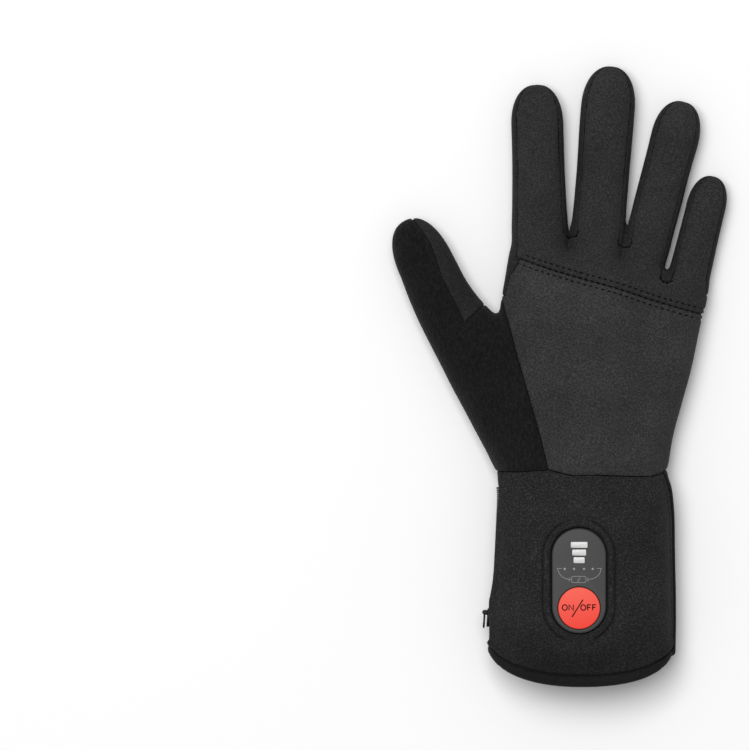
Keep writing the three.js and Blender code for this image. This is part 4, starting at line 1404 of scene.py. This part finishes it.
# %% Sew the strap
STRAP_END = 35.0
STRAP_DROP = 26.0
STRAP_ROOT = 42.0
STRAP_END_WIDTH = 47.0
STRAP_SLOPE = 9.5
STRAP_SMALL_CORNER = 6.0
STRAP_LARGE_CORNER = 13.0
STRAP_BAND = 4.6
STRAP_SLANT = 3.0
STRAP_TOP = 13.4
STRAP_ROWS = (0.0, 0.7, 1.5, *(STRAP_BAND + row for row in (-1.4, -0.7, 0.0, 0.7, 1.4)))


def bend(start, control, end, steps=9):
    """A curved corner between two points."""
    t = np.linspace(0, 1, steps)[:, None]
    start, control, end = (np.asarray(p, float) for p in (start, control, end))
    return (1 - t) ** 2 * start + 2 * t * (1 - t) * control + t**2 * end


end_x = -STRAP_END
end_top = -STRAP_DROP - STRAP_SLOPE
end_bottom = end_top - STRAP_END_WIDTH
slanted_x = end_x + STRAP_SLANT
strap_line = np.concatenate(
    [
        [(CUFF_WIDTH, -STRAP_DROP)],
        bend((end_x + STRAP_SMALL_CORNER, end_top), (end_x, end_top), (end_x, end_top - STRAP_SMALL_CORNER)),
        bend(
            (slanted_x, end_bottom + STRAP_LARGE_CORNER),
            (slanted_x, end_bottom),
            (slanted_x + STRAP_LARGE_CORNER, end_bottom),
        ),
        [(CUFF_WIDTH, -STRAP_DROP - STRAP_ROOT)],
    ]
)


def in_strap(points):
    return line_distance(points, strap_line)


def past_wrist(points):
    return points[:, 1] < -12


def low_cuff(points):
    return past_wrist(points) & (points[:, 2] < 15)


def thinned(base):
    """0 along the palm and 1 where the strap goes under the back's bound edge."""
    return np.clip((base[:, 2] - 7) / 5, 0, 1)


def strap_lift(base):
    """The strap lies outside the cuff and thins out towards its root."""
    return STRAP_STACK - 1.4 * thinned(base)


def strap_depth(base):
    return STRAP_THICKNESS - 1.2 * thinned(base)


strap_skin = cut_rows(*strap_skin, in_strap, cut_place(8, low_cuff), STRAP_ROWS)
strap_skin = cut_rows(*strap_skin, level(2, STRAP_TOP), cut_place(4, on_right, past_wrist), (0.0, -0.7))
strap_points, strap_faces = strap_skin
strap_cloth = (*strap_skin, normals_of(*strap_skin))
strap_middle = strap_points[strap_faces].mean(axis=1)
strap_number = in_strap(strap_middle)
on_strap = (strap_number > 0) & (strap_middle[:, 2] < STRAP_TOP) & (strap_middle[:, 0] > -STRAP_END - 1)
ring = on_strap & (strap_number < STRAP_BAND)
STRAP_SHAPE = dict(depth=strap_depth, roll=1.5, skin=strap_cloth)
panel(
    "strap_binding", ring, binding_tape, "binding", rise=strap_lift, drop=0.7, inner_drop=0.4,
    **STRAP_SHAPE,
)
panel(
    "wrist_strap", on_strap & ~ring, cuff_knit, "cuff_cloth", rise=lambda base: strap_lift(base) - 0.35,
    drop=0.5, **STRAP_SHAPE,
)

# %% [markdown]
# Small solids
#
# The controller, its button and the zip are hard, and each is made of a few outlines. An outline lofted
# through a few insets gives a plate with rounded edges, and one that runs along a line gives a tube. Bevel
# modifiers could round the edges, but here the rounding is part of the rings and stays exact.

# %% Make outlines
def circle(radius, count, x=0.0, y=0.0):
    angle = np.linspace(0, 2 * np.pi, count, endpoint=False)
    return np.column_stack([x + radius * np.cos(angle), y + radius * np.sin(angle)])


def stadium(radius, half_straight, steps=48):
    turn = np.linspace(0, np.pi, steps)
    top = np.column_stack([radius * np.cos(turn), half_straight + radius * np.sin(turn)])
    return np.concatenate([top, -top])


def round_box(width, height, corner, x=0.0, y=0.0, steps=6):
    """A rectangle with round corners, anticlockwise."""
    turn = np.linspace(0, np.pi / 2, steps)
    parts = []
    for k, (sx, sy) in enumerate(((1, 1), (-1, 1), (-1, -1), (1, -1))):
        angle = turn + k * np.pi / 2
        cx = x + sx * (width / 2 - corner)
        cy = y + sy * (height / 2 - corner)
        parts.append(np.column_stack([cx + corner * np.cos(angle), cy + corner * np.sin(angle)]))
    return np.concatenate(parts)


def inset(outline, distance):
    """An anticlockwise outline moved inward."""
    after = np.roll(outline, -1, axis=0) - outline
    after = after / np.linalg.norm(after, axis=1, keepdims=True)
    before = np.roll(after, 1, axis=0)
    inward = np.column_stack([-after[:, 1] - before[:, 1], after[:, 0] + before[:, 0]])
    return outline + distance * inward / (1 + (after * before).sum(axis=1, keepdims=True))


print("points of a circle:", len(circle(1, 24)))

# %% [markdown]
# Lofts through rings
#
# A plate is a loft through its outline at a few heights, each inset a little where the edge is round.

# %% Join rings
def join_rings(rings, first_cap=True, last_cap=True, loop=False):
    """Points and faces through rings of equal count, each anticlockwise seen from the last."""
    count = len(rings[0])
    points_in = np.concatenate(rings)
    polygons = []
    pairs = [(k, k + 1) for k in range(len(rings) - 1)]
    if loop:
        pairs.append((len(rings) - 1, 0))
    for k, after in pairs:
        for i in range(count):
            j = (i + 1) % count
            polygons.append([k * count + i, k * count + j, after * count + j, after * count + i])
    if first_cap and not loop:
        polygons.append(list(range(count))[::-1])
    if last_cap and not loop:
        start = (len(rings) - 1) * count
        polygons.append(list(range(start, start + count)))
    return points_in, polygons


def at_height(outline, z):
    return np.column_stack([outline, np.full(len(outline), z)])


def edge_rings(outline, low_z, high_z, bevel, steps=4):
    """Rings from the underside to the top of a plate, with its top edge rounded."""
    rings = [at_height(inset(outline, bevel * 0.6), low_z), at_height(outline, low_z + bevel * 0.6)]
    for angle in np.linspace(0, np.pi / 2, steps + 1):
        moved = inset(outline, bevel * (1 - math.cos(angle)))
        rings.append(at_height(moved, high_z - bevel + bevel * math.sin(angle)))
    return rings


def plate(outline, low_z, high_z, bevel):
    return join_rings(edge_rings(outline, low_z, high_z, bevel))


def joined(shells):
    """Several closed shells as one list of points and faces."""
    all_points = []
    all_faces = []
    start = 0
    for shell_points, shell_faces in shells:
        all_points.append(np.asarray(shell_points))
        all_faces.extend([[i + start for i in face] for face in shell_faces])
        start += len(shell_points)
    return np.concatenate(all_points), all_faces


print("a plate of a circle:", len(plate(circle(1, 24), 0, 1, 0.1)[1]), "faces")

# %% [markdown]
# Threads and lines of ink
#
# A thread is a ring carried along a path, and a line of ink is a flat strip with mitred corners. A curve
# with a bevel would do the same, but has to be turned into a mesh before it can be joined.

# %% Make tubes and strokes
def tube(path, radii, sides):
    """A round thread along a path with a radius at each point."""
    path = np.asarray(path, float)
    way = np.gradient(path, axis=0)
    way = way / np.linalg.norm(way, axis=1, keepdims=True)
    across = np.cross(way, (0.1, 0.2, 1.0))
    across = across / np.linalg.norm(across, axis=1, keepdims=True)
    up = np.cross(across, way)
    angle = np.linspace(0, 2 * np.pi, sides, endpoint=False)
    rings = []
    for k, point in enumerate(path):
        round_part = np.cos(angle)[:, None] * across[k] + np.sin(angle)[:, None] * up[k]
        rings.append((point + radii[k] * round_part)[::-1])
    return join_rings(rings[::-1])


def stroke(path, width, low_z, high_z, closed=False):
    """A flat line of ink or enamel along a path in plan."""
    path = np.asarray(path, float)
    way = np.diff(path, axis=0)
    if closed:
        way = np.concatenate([way, [path[0] - path[-1]]])
    way = way / np.linalg.norm(way, axis=1, keepdims=True)
    before = np.roll(way, 1, axis=0) if closed else np.concatenate([way[:1], way])
    after = way if closed else np.concatenate([way, way[-1:]])
    left = np.column_stack([-before[:, 1] - after[:, 1], before[:, 0] + after[:, 0]])
    left = left / np.maximum(1 + (before * after).sum(axis=1, keepdims=True), 0.35)
    a = path + left * width / 2
    b = path - left * width / 2
    rings = []
    for k in range(len(path)):
        rings.append([(*b[k], low_z), (*b[k], high_z), (*a[k], high_z), (*a[k], low_z)])
    return join_rings(np.array(rings)[::-1], loop=closed)


print("a short stroke:", len(stroke([(0, 0), (1, 0)], 0.2, 0, 0.1)[1]), "faces")

# %% [markdown]
# The heat controller
#
# A satin plastic housing shows through the cuff's window. Its face has a pocket for the push button and one
# for each of the three level lights. The face's flat is filled between its rim and the pockets' rims, so
# that every edge has its own small rounding. A thin black flange runs round the housing under the cloth and
# closes the window.

# %% Mould the controller
FACE_TOP = 42.8
HOUSING_DEPTH = 9.0
FLANGE_WIDTH = 3.4
FLANGE_TOP = 35.8
FLANGE_THICKNESS = 1.2
BUTTON_RADIUS = 9.95
BUTTON_Y = -FACE_DROP - BUTTON_DROP
BUTTON_TOP = 43.5
BUTTON_THICKNESS = 2.4
BUTTON_TRAVEL = 0.7
BAR_WIDTH = 8.1
BAR_HEIGHT = 2.95
BAR_PITCH = 3.65
BAR_Y = -FACE_DROP + 17.2
BAR_TOP = 43.0
BAR_THICKNESS = 0.9


def pocket(outline, floor_z, chamfer=0.22):
    """Rings from a pocket's rim in the face down to its floor."""
    turned = outline[::-1]
    rim = inset(turned, chamfer)
    return [at_height(rim, FACE_TOP), at_height(turned, FACE_TOP - chamfer), at_height(turned, floor_z)]


def bar_outline(k, spare=0.0):
    width = BAR_WIDTH * (1 - 0.165 * k) + 2 * spare
    return round_box(width, BAR_HEIGHT + 2 * spare, 0.5, FACE_OFFSET, BAR_Y - k * BAR_PITCH)


face_outline = stadium(FACE_RADIUS, FACE_STRAIGHT) + (FACE_OFFSET, -FACE_DROP)
body_rings = edge_rings(face_outline, FACE_TOP - HOUSING_DEPTH, FACE_TOP, 0.9, steps=6)
button_floor = BUTTON_TOP - BUTTON_THICKNESS - BUTTON_TRAVEL - 0.3
pockets = [pocket(circle(BUTTON_RADIUS + 0.3, 96, FACE_OFFSET, BUTTON_Y), button_floor)]
for k in range(3):
    pockets.append(pocket(bar_outline(k, 0.12), BAR_TOP - BAR_THICKNESS - 0.1, 0.1))
body_points, body_faces = join_rings(body_rings, last_cap=False)
rims = [body_rings[-1]] + [rings[0] for rings in pockets]
starts = [len(body_points) - len(face_outline)]
shells = [body_points]
for rings in pockets:
    pocket_points, pocket_faces = join_rings(rings, first_cap=False)
    start = sum(len(shell) for shell in shells)
    starts.append(start)
    shells.append(pocket_points)
    body_faces.extend([[i + start for i in face] for face in pocket_faces])
rim_ids = np.concatenate([start + np.arange(len(rim)) for start, rim in zip(starts, rims)])
flat = tessellate_polygon([[Vector(point) for point in rim] for rim in rims])
rim_points = np.concatenate(rims)
for a, b, c in flat:
    turn = np.cross(rim_points[b] - rim_points[a], rim_points[c] - rim_points[a])[2]
    triangle = (a, b, c) if turn > 0 else (a, c, b)
    body_faces.append([int(rim_ids[i]) for i in triangle])
add_piece(
    "controller_shell", np.concatenate(shells), body_faces, satin_plastic, "housing",
    replaces=("controller_housing",), sharp=35,
)

# %% [markdown]
# Flange and lights
#
# The flange is a plain plate under the cloth. Each light is a white lens that fills its pocket.

# %% Add the flange and the lights
flange_outline = stadium(FACE_RADIUS + FLANGE_WIDTH, FACE_STRAIGHT) + (FACE_OFFSET, -FACE_DROP)
flange = plate(flange_outline, FLANGE_TOP - FLANGE_THICKNESS, FLANGE_TOP, 0.2)
add_piece("housing_flange", *flange, zip_nylon, "housing", sharp=50)
for k in range(3):
    bar = plate(bar_outline(k), BAR_TOP - BAR_THICKNESS, BAR_TOP, 0.2)
    add_piece(f"level_light_{k + 1}", *bar, lens_white, "light_window", replaces=(f"level_bar_{k + 1}",))

# %% [markdown]
# The push button
#
# The button is a silicone disc with a soft edge that stands 0.7 mm proud of the face. It slides straight
# down by as much. Its lettering is printed in thin strokes and moves with it.

# %% Mould the button and print its words
def photo_place(u, v):
    """Millimetres from the wrist seam's middle for a place in the photograph."""
    return ((u - 582) * 0.48 + 0.2, (474 - v) * 0.48)


disc_outline = circle(BUTTON_RADIUS, 120, FACE_OFFSET, BUTTON_Y)
disc = plate(disc_outline, BUTTON_TOP - BUTTON_THICKNESS, BUTTON_TOP, 0.4)
add_piece("push_button", *disc, red_silicone, "red_button", body="button", replaces=("power_button",))
LETTER_WIDE = {"O": 2.35, "N": 2.05, "F": 1.6}
LETTER_TALL = 2.6
LETTER_GAP = 0.85
LETTER_STROKE = 0.52
INK_DEPTH = 0.06
INK_RISE = 0.03


def letter_paths(letter):
    """A letter's strokes in its own box, as (closed, points) pairs."""
    w = LETTER_WIDE[letter]
    h = LETTER_TALL
    if letter == "O":
        return [(True, circle(1, 36) * (w / 2, h / 2) + (w / 2, h / 2))]
    if letter == "N":
        return [(False, [(0, 0), (0, h), (w, 0), (w, h)])]
    return [(False, [(0, 0), (0, h), (w, h)]), (False, [(0.1, 0.53 * h), (0.85 * w, 0.53 * h)])]


word_strokes = []
button_ink = (BUTTON_TOP - INK_DEPTH, BUTTON_TOP + INK_RISE)
for word, (left, baseline) in (("ON", photo_place(560.9, 609)), ("OFF", photo_place(579.3, 609))):
    for letter in word:
        for closed, path in letter_paths(letter):
            placed = np.asarray(path) + (left, baseline)
            word_strokes.append(stroke(placed, LETTER_STROKE, *button_ink, closed))
        left += LETTER_WIDE[letter] + LETTER_GAP
slash = [photo_place(581.4, 598.5), photo_place(570.5, 615.7)]
word_strokes.append(stroke(slash, 0.55, *button_ink))
add_piece("button_words", *joined(word_strokes), dark_ink, "red_button", body="button")

# %% [markdown]
# Marks on the controller
#
# Four small dots and a thin line that leads to a battery sign are printed on the face. Each is a thin layer
# of ink with its own edge, so it keeps its place in every renderer.

# %% Print the marks
FACE_INK = (FACE_TOP - 0.05, FACE_TOP + INK_RISE)
DOTS = (563.3, 572.6, 582.5, 591.1)
# Each lead: its outer end, its corner, and the end of its bend with the bend's control.
LEADS = [
    ((560.3, 567.4), (556, 567.4), (557.7, 572), (560.6, 577.8), (569.8, 578.6)),
    ((595.2, 567.4), (599.7, 567.4), (598.2, 572), (595.4, 577.8), (585.4, 578.6)),
]
BOLT = [(578.7, 576.3), (575.8, 578.9), (579.0, 578.1), (576.0, 580.7)]


def placed_path(path):
    return [photo_place(*place) for place in path]


marks = []
for u in DOTS:
    marks.append(plate(circle(0.55, 16, *photo_place(u, 567.9)), *FACE_INK, 0.02))
for outer_end, corner, *curve in LEADS:
    path = np.concatenate([[outer_end, corner], bend(*curve, steps=10)])
    marks.append(stroke(placed_path(path), 0.22, *FACE_INK))
left, top = photo_place(570.2, 575.3)
right_x, bottom = photo_place(584.4, 581.5)
battery = round_box(right_x - left, top - bottom, 0.8, (left + right_x) / 2, (top + bottom) / 2)
marks.append(stroke(battery, 0.22, *FACE_INK, closed=True))
marks.append(stroke(placed_path(BOLT), 0.24, *FACE_INK))
for u in (567.9, 586.4):
    x, y = photo_place(u, 578.4)
    marks.append(stroke([(x, y - 0.9), (x, y + 0.9)], 0.24, *FACE_INK))
add_piece("controller_marks", *joined(marks), light_ink, "housing")

# %% [markdown]
# The zip
#
# Moulded teeth stand in two rows on the tape along the thumb side, those of one row between those of the
# other. A ray from the side finds the tape under each tooth.

# %% Mould the zip
ZIP_START = 6.0
ZIP_END = 83.0
TOOTH_PITCH = 2.1
SLIDER_LENGTH = 9.0
SLIDER_WIDTH = 6.6
SLIDER_THICKNESS = 1.2
LUG_RADIUS = 1.15
LUG_WIDTH = 0.8
PIN_RADIUS = 0.4
PIVOT_CLIMB = 2.4
PULLER_LENGTH = 8.0
PULLER_WIDTH = 3.0
PULLER_THICKNESS = 0.9
PULLER_EYE = 1.0
PULLER_SPARE = 0.3


def cuff_side(down):
    """How far out the cuff's thumb side lies at a distance below the wrist seam."""
    rows = [(row[0] * CUFF_LENGTH, row[1] * CUFF_WIDTH) for row in reversed(CUFF_ROWS)]
    rows.insert(0, (0, -WRIST_WIDTH / 2))
    downs, sides = zip(*rows)
    return float(np.interp(down, downs, sides))


def upright(shell, x, y, z, turn=0.0):
    """Stands a shell against the thumb side: its x points up, its y along the zip and its z outward."""
    shell_points, shell_faces = shell
    a, b, c = np.asarray(shell_points, float).T
    out = -c
    cos, sin = math.cos(turn), math.sin(turn)
    placed = np.column_stack([x + out * cos - b * sin, y + out * sin + b * cos, z + a])
    return placed, shell_faces


half_tooth = [(1.75, 0.36), (0.75, 0.45), (-0.15, 0.3)]
tooth_outline = np.array([(x, -y) for x, y in reversed(half_tooth)] + half_tooth)
teeth = []
count = int((ZIP_END - ZIP_START - 1) / (TOOTH_PITCH / 2))
skin_hit = BVHTree.FromPolygons(points.tolist(), faces[is_cuff & ~right].tolist())
for k in range(count):
    down = ZIP_START + 0.8 + k * TOOTH_PITCH / 2
    if abs(down - SLIDER_DROP) < SLIDER_LENGTH / 2 - 0.3:
        continue
    hit = skin_hit.ray_cast((-70, -down, ZIP_HEIGHT), (1, 0, 0))[0]
    outline = tooth_outline if k % 2 else -tooth_outline
    teeth.append(upright(plate(outline, -1.1, 0.35, 0.16), hit.x, -down, ZIP_HEIGHT))
add_piece("zip_tooth_rows", *joined(teeth), zip_nylon, "zip_plastic", replaces=("zip_teeth",))

# %% [markdown]
# The slider
#
# The slider lies against the teeth at the slant of the cuff there. Its plate is a shield with softened
# corners, and the pin for the puller runs through two lugs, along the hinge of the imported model.

# %% Mould the slider
slider_above = cuff_side(SLIDER_DROP - SLIDER_LENGTH / 2)
slider_below = cuff_side(SLIDER_DROP + SLIDER_LENGTH / 2)
slider_x = min(cuff_side(SLIDER_DROP), (slider_above + slider_below) / 2) - 0.8
slider_turn = math.atan2(slider_below - slider_above, SLIDER_LENGTH)
pin_height = SLIDER_THICKNESS + PULLER_SPARE + PULLER_EYE
lug_side = PULLER_WIDTH / 2 + PULLER_SPARE


def on_slider(shell):
    return upright(shell, slider_x, -SLIDER_DROP, ZIP_HEIGHT, slider_turn)


def cross_rod(outline, start, end, bevel):
    """A rod along x through the pin's line, from an outline in the other two directions."""
    rod_points, rod_faces = plate(outline, start, end, bevel)
    a, b, c = rod_points.T
    return np.column_stack([c, PIVOT_CLIMB + a, pin_height + b]), rod_faces


shield = np.array(
    [(-0.6, -1), (0.6, -1), (1, -0.3), (1, 0.75), (0.6, 1), (-0.6, 1), (-1, 0.75), (-1, -0.3)]
)
shield = shield * (SLIDER_WIDTH / 2, SLIDER_LENGTH / 2)
shield_parts = []
for k, corner in enumerate(shield):
    start = 0.5 * (shield[k - 1] + corner)
    end = 0.5 * (corner + shield[(k + 1) % len(shield)])
    round_part = bend(start, corner, end, 5)[:-1]
    sharp_part = np.concatenate([np.linspace(start, corner, 3)[:-1], np.linspace(corner, end, 3)[:-1]])
    shield_parts.append(0.55 * round_part + 0.45 * sharp_part)
blunt_shield = np.concatenate(shield_parts)
slider_shells = [plate(blunt_shield, 0.0, SLIDER_THICKNESS, 0.4)]
lug_outline = np.concatenate([circle(LUG_RADIUS, 24)[:13], [(-LUG_RADIUS, -1.4), (LUG_RADIUS, -1.4)]])
for start in (-lug_side - LUG_WIDTH, lug_side):
    slider_shells.append(cross_rod(lug_outline, start, start + LUG_WIDTH, 0.15))
slider_shells.append(cross_rod(circle(PIN_RADIUS, 16), -lug_side - 0.4, lug_side + 0.4, 0.05))
slider_shells = [on_slider(shell) for shell in slider_shells]
add_piece("slider_shield", *joined(slider_shells), zip_enamel, "zip_metal", replaces=("zip_slider",))

# %% [markdown]
# The puller
#
# The puller is a flat tab whose eye is a short sleeve round the pin. Two low ribs near its end give the
# fingers a hold.

# %% Mould the puller
tab_end = PIVOT_CLIMB - PULLER_LENGTH
half_tab = PULLER_WIDTH / 2
tip = circle(0.7 * half_tab, 28, 0, tab_end + half_tab)[14:]
tab_outline = np.concatenate([[(half_tab, PIVOT_CLIMB - 0.9), (-half_tab, PIVOT_CLIMB - 0.9)], tip])
tab = plate(tab_outline, pin_height - PULLER_THICKNESS / 2, pin_height + PULLER_THICKNESS / 2, 0.25)
ribs = []
for y in (tab_end + 1.5, tab_end + 2.5):
    rib = round_box(1.7, 0.5, 0.2, 0, y)
    ribs.append(plate(rib, pin_height + 0.3, pin_height + PULLER_THICKNESS / 2 + 0.12, 0.1))
sleeve_rings = []
for radius, x in ((1.0, -1.0), (1.0, 1.0), (0.7, 1.0), (0.7, -1.0)):
    eye = circle(radius * PULLER_EYE, 28) + (PIVOT_CLIMB, pin_height)
    sleeve_rings.append(np.column_stack([np.full(28, half_tab * x), eye]))
sleeve = join_rings(sleeve_rings, loop=True)
puller_shells = [on_slider(shell) for shell in (tab, sleeve, *ribs)]
add_piece(
    "puller_tab", *joined(puller_shells), zip_enamel, "zip_metal", body="puller", replaces=("zip_puller",)
)

# %% [markdown]
# Stitches
#
# A machine stitch dives into the cloth at both ends and lies on top between them. Each one here is a short
# tube that does so, from one needle pit to the next. The finger gaps end in a horseshoe of the same thread.

# %% Sew the stitches
THREAD = 0.3
STITCH_LENGTH = 1.7
STEEPEST_STITCH = 1.1


def line_point(line, along, offset):
    """A place in plan at a distance along a line and to its left."""
    spacing = np.linalg.norm(np.diff(line, axis=0), axis=1)
    keys = np.concatenate([[0], np.cumsum(spacing)])
    k = int(np.clip(np.searchsorted(keys, along) - 1, 0, len(spacing) - 1))
    way = (line[k + 1] - line[k]) / spacing[k]
    return line[k] + way * (along - keys[k]) + offset * np.array([-way[1], way[0]])


def top_hit(trees, x, y):
    """The highest of several surfaces under a place in plan."""
    hits = [tree.ray_cast((x, y, 60), (0, 0, -1))[0] for tree in trees]
    heights = [hit.z for hit in hits if hit is not None]
    return max(heights) if heights else None


def stitch(ends, trees):
    """A stitch between two places in plan, or None off the cloth."""
    start, end = np.asarray(ends[0]), np.asarray(ends[1])
    path = []
    for share, lift in ((0.0, -0.25), (0.2, 0.05), (0.5, 0.12), (0.8, 0.05), (1.0, -0.25)):
        x, y = start + share * (end - start)
        z = top_hit(trees, x, y)
        if z is None:
            return None
        path.append((x, y, z + lift))
    if np.ptp([z for _, _, z in path]) > STEEPEST_STITCH:
        return None
    return tube(path, (0.6 * THREAD, THREAD, THREAD, THREAD, 0.6 * THREAD), 6)


stitches = []
knuckle_length = np.linalg.norm(np.diff(knuckle_line, axis=0), axis=1).sum()
back_trees = (finger_hit, back_hit)
for row in ROW_OFFSETS:
    for k in range(int(knuckle_length / STITCH_PITCH)):
        start = k * STITCH_PITCH - STITCH_LENGTH / 2
        ends = [line_point(knuckle_line, along, row) for along in (start, start + STITCH_LENGTH)]
        if line_distance(np.array([[*ends[0], 0]]), thumb_line)[0] < 1:
            continue
        stitches.append(stitch(ends, back_trees))
for (x, y), radius, way in gap_ways():
    back_way = math.atan2(-way[1], -way[0])
    reach = radius + 0.8
    for k in range(-3, 3):
        angles = (back_way + 0.62 * k + 0.1, back_way + 0.62 * k + 0.52)
        ends = [(x + reach * math.cos(a), y + reach * math.sin(a)) for a in angles]
        stitches.append(stitch(ends, (finger_hit,)))
stitches = [shell for shell in stitches if shell is not None]


print("stitches:", len(stitches))

# %% [markdown]
# Threads in the seams
#
# Where two panels are sewn edge to edge, only the thread between their rolled edges shows. It follows the
# border of the panel, evened out so that it runs as smoothly as a real thread.

# %% Lay the threads
SHORTEST_THREAD = 6.0
THREADED = ("finger_backs", "hand_back", "thumb_back", "palm_panel", "thumb_front")


def seam_thread(path, step=1.2):
    """A thread that lies in a seam's groove."""
    spacing = np.linalg.norm(np.diff(path, axis=0), axis=1)
    keys = np.concatenate([[0], np.cumsum(spacing)])
    if keys[-1] < SHORTEST_THREAD:
        return None
    wanted = np.linspace(0, keys[-1], max(int(keys[-1] / step), 4))
    even = np.column_stack([np.interp(wanted, keys, path[:, k]) for k in range(3)])
    even[1:-1] = (even[:-2] + 2 * even[1:-1] + even[2:]) / 4
    return tube(even, np.full(len(even), THREAD), 5)


threads = [seam_thread(path) for name in THREADED for path in borders[name]]
threads = [shell for shell in threads if shell is not None]
add_piece("seam_threads", *joined(threads), black_thread, "binding", sharp=50)
add_piece("seam_stitches", *joined(stitches), black_thread, "binding", sharp=50)

# %% [markdown]
# Grip lines
#
# The palm, the finger fronts and the thumb's front carry a net of thin raised silicone lines in hexagons.
# They are printed on the flat cloth before it is sewn, so the net ends at every seam. Each side of a hexagon
# is a low ridge that follows the cloth, found by casting rays up at the palm from below.

# %% Print the grip lines
HEX_SIDE = 3.35
GRIP_WIDTH = 0.46
GRIP_RISE = 0.16
GRIP_MARGIN = 0.9
LEAST_FACING = -0.3


def hex_sides(low_x, high_x, low_y, high_y):
    """Every side of a net of hexagons once, as pairs of places in plan."""
    sides = []
    step_x = HEX_SIDE * math.sqrt(3)
    step_y = HEX_SIDE * 1.5
    for row in range(int((high_y - low_y) / step_y) + 2):
        y = low_y + row * step_y
        for column in range(int((high_x - low_x) / step_x) + 2):
            x = low_x + column * step_x + (row % 2) * step_x / 2
            corners = []
            for angle in np.radians((30, 90, 150, 210)):
                corners.append((x + HEX_SIDE * math.cos(angle), y + HEX_SIDE * math.sin(angle)))
            sides.extend(zip(corners, corners[1:]))
    return sides


def seen_from_below(x, y):
    """Where a ray from below meets the palm's cloth or the thumb's, as (place, normal) pairs."""
    hits = [tree.ray_cast((x, y, -5), (0, 0, 1))[:2] for tree in (palm_hit, base_hit)]
    return [hit for hit in hits if hit[0] is not None]


def grip_ridge(start, end):
    """A low ridge on the cloth's underside between two places, or None."""
    run = np.subtract(end, start)
    way = run / np.linalg.norm(run)
    across = np.array([-way[1], way[0], 0])
    aside = (GRIP_WIDTH / 2 + GRIP_MARGIN) * across
    rings = []
    for share in (0.0, 0.5, 1.0):
        x, y = np.asarray(start) + share * run
        found = None
        for place, normal in seen_from_below(x, y):
            if normal.z < LEAST_FACING and place.z < FRONT_SEAM - 0.6:
                found = (np.array(place), np.array(normal))
        if found is None:
            return None
        if not (seen_from_below(x - aside[0], y - aside[1]) and seen_from_below(x + aside[0], y + aside[1])):
            return None
        place, normal = found
        low = place - normal * 0.15
        high = place + normal * GRIP_RISE
        high[2] = max(high[2], 0.0)
        wide = across * GRIP_WIDTH / 2
        rings.append([low - wide, high - 0.6 * wide, high + 0.6 * wide, low + wide])
    return join_rings(np.array(rings))


ridges = [grip_ridge(start, end) for start, end in hex_sides(-92, 72, -2, 202)]
ridges = [ridge for ridge in ridges if ridge is not None]
add_piece("grip_lines", *joined(ridges), grip_silicone, "grip_cloth")
print("grip ridges:", len(ridges))

# %% [markdown]
# Floor and light
#
# The glove lies on white paper under one wide, soft light from above, with white surroundings.

# %% Light the glove
def area_light(name, place, size, power):
    data = bpy.data.lights.new(name, "AREA")
    data.shape = "RECTANGLE"
    data.size, data.size_y = size
    data.energy = power
    lamp = bpy.data.objects.new(name, data)
    lamp.location = place
    lamp.rotation_euler = (-Vector(place)).to_track_quat("-Z", "Y").to_euler()
    bpy.context.scene.collection.objects.link(lamp)


floor_mesh = bpy.data.meshes.new("floor")
floor_mesh.from_pydata([(-6, -6, 0), (6, -6, 0), (6, 6, 0), (-6, 6, 0)], [], [(0, 1, 2, 3)])
floor = bpy.data.objects.new("floor", floor_mesh)
floor_finish, tree, shader, place = new_finish("floor_paper")
shader.inputs["Base Color"].default_value = (0.9, 0.9, 0.9, 1)
shader.inputs["Roughness"].default_value = 0.9
floor_mesh.materials.append(floor_finish)
bpy.context.scene.collection.objects.link(floor)
world = bpy.data.worlds.new("soft_studio")
world.use_nodes = True
world.node_tree.nodes["Background"].inputs["Color"].default_value = (1, 1, 1, 1)
world.node_tree.nodes["Background"].inputs["Strength"].default_value = 0.4
bpy.context.scene.world = world
bpy.context.scene.view_settings.view_transform = "Standard"
area_light("key", (-0.4, 0.5, 2.5), (1.5, 1.5), 54)
print("lights:", len(bpy.data.lights))

# %% [markdown]
# The camera
#
# The photo shows no perspective, so the camera stands far off with a long lens and looks straight down.

# %% Place the camera
PHOTO_CENTRE = (-0.08872, 0.00035)
PHOTO_WIDTH = 0.36
DISTANCE = 4.4
camera_data = bpy.data.cameras.new("camera")
camera_data.sensor_width = 36
camera_data.lens = 36 * (DISTANCE - 0.02) / PHOTO_WIDTH
camera_data.clip_end = 50
camera = bpy.data.objects.new("camera", camera_data)
camera.location = (*PHOTO_CENTRE, DISTANCE)
bpy.context.scene.collection.objects.link(camera)
bpy.context.scene.camera = camera
print("lens (mm):", round(camera_data.lens, 1))
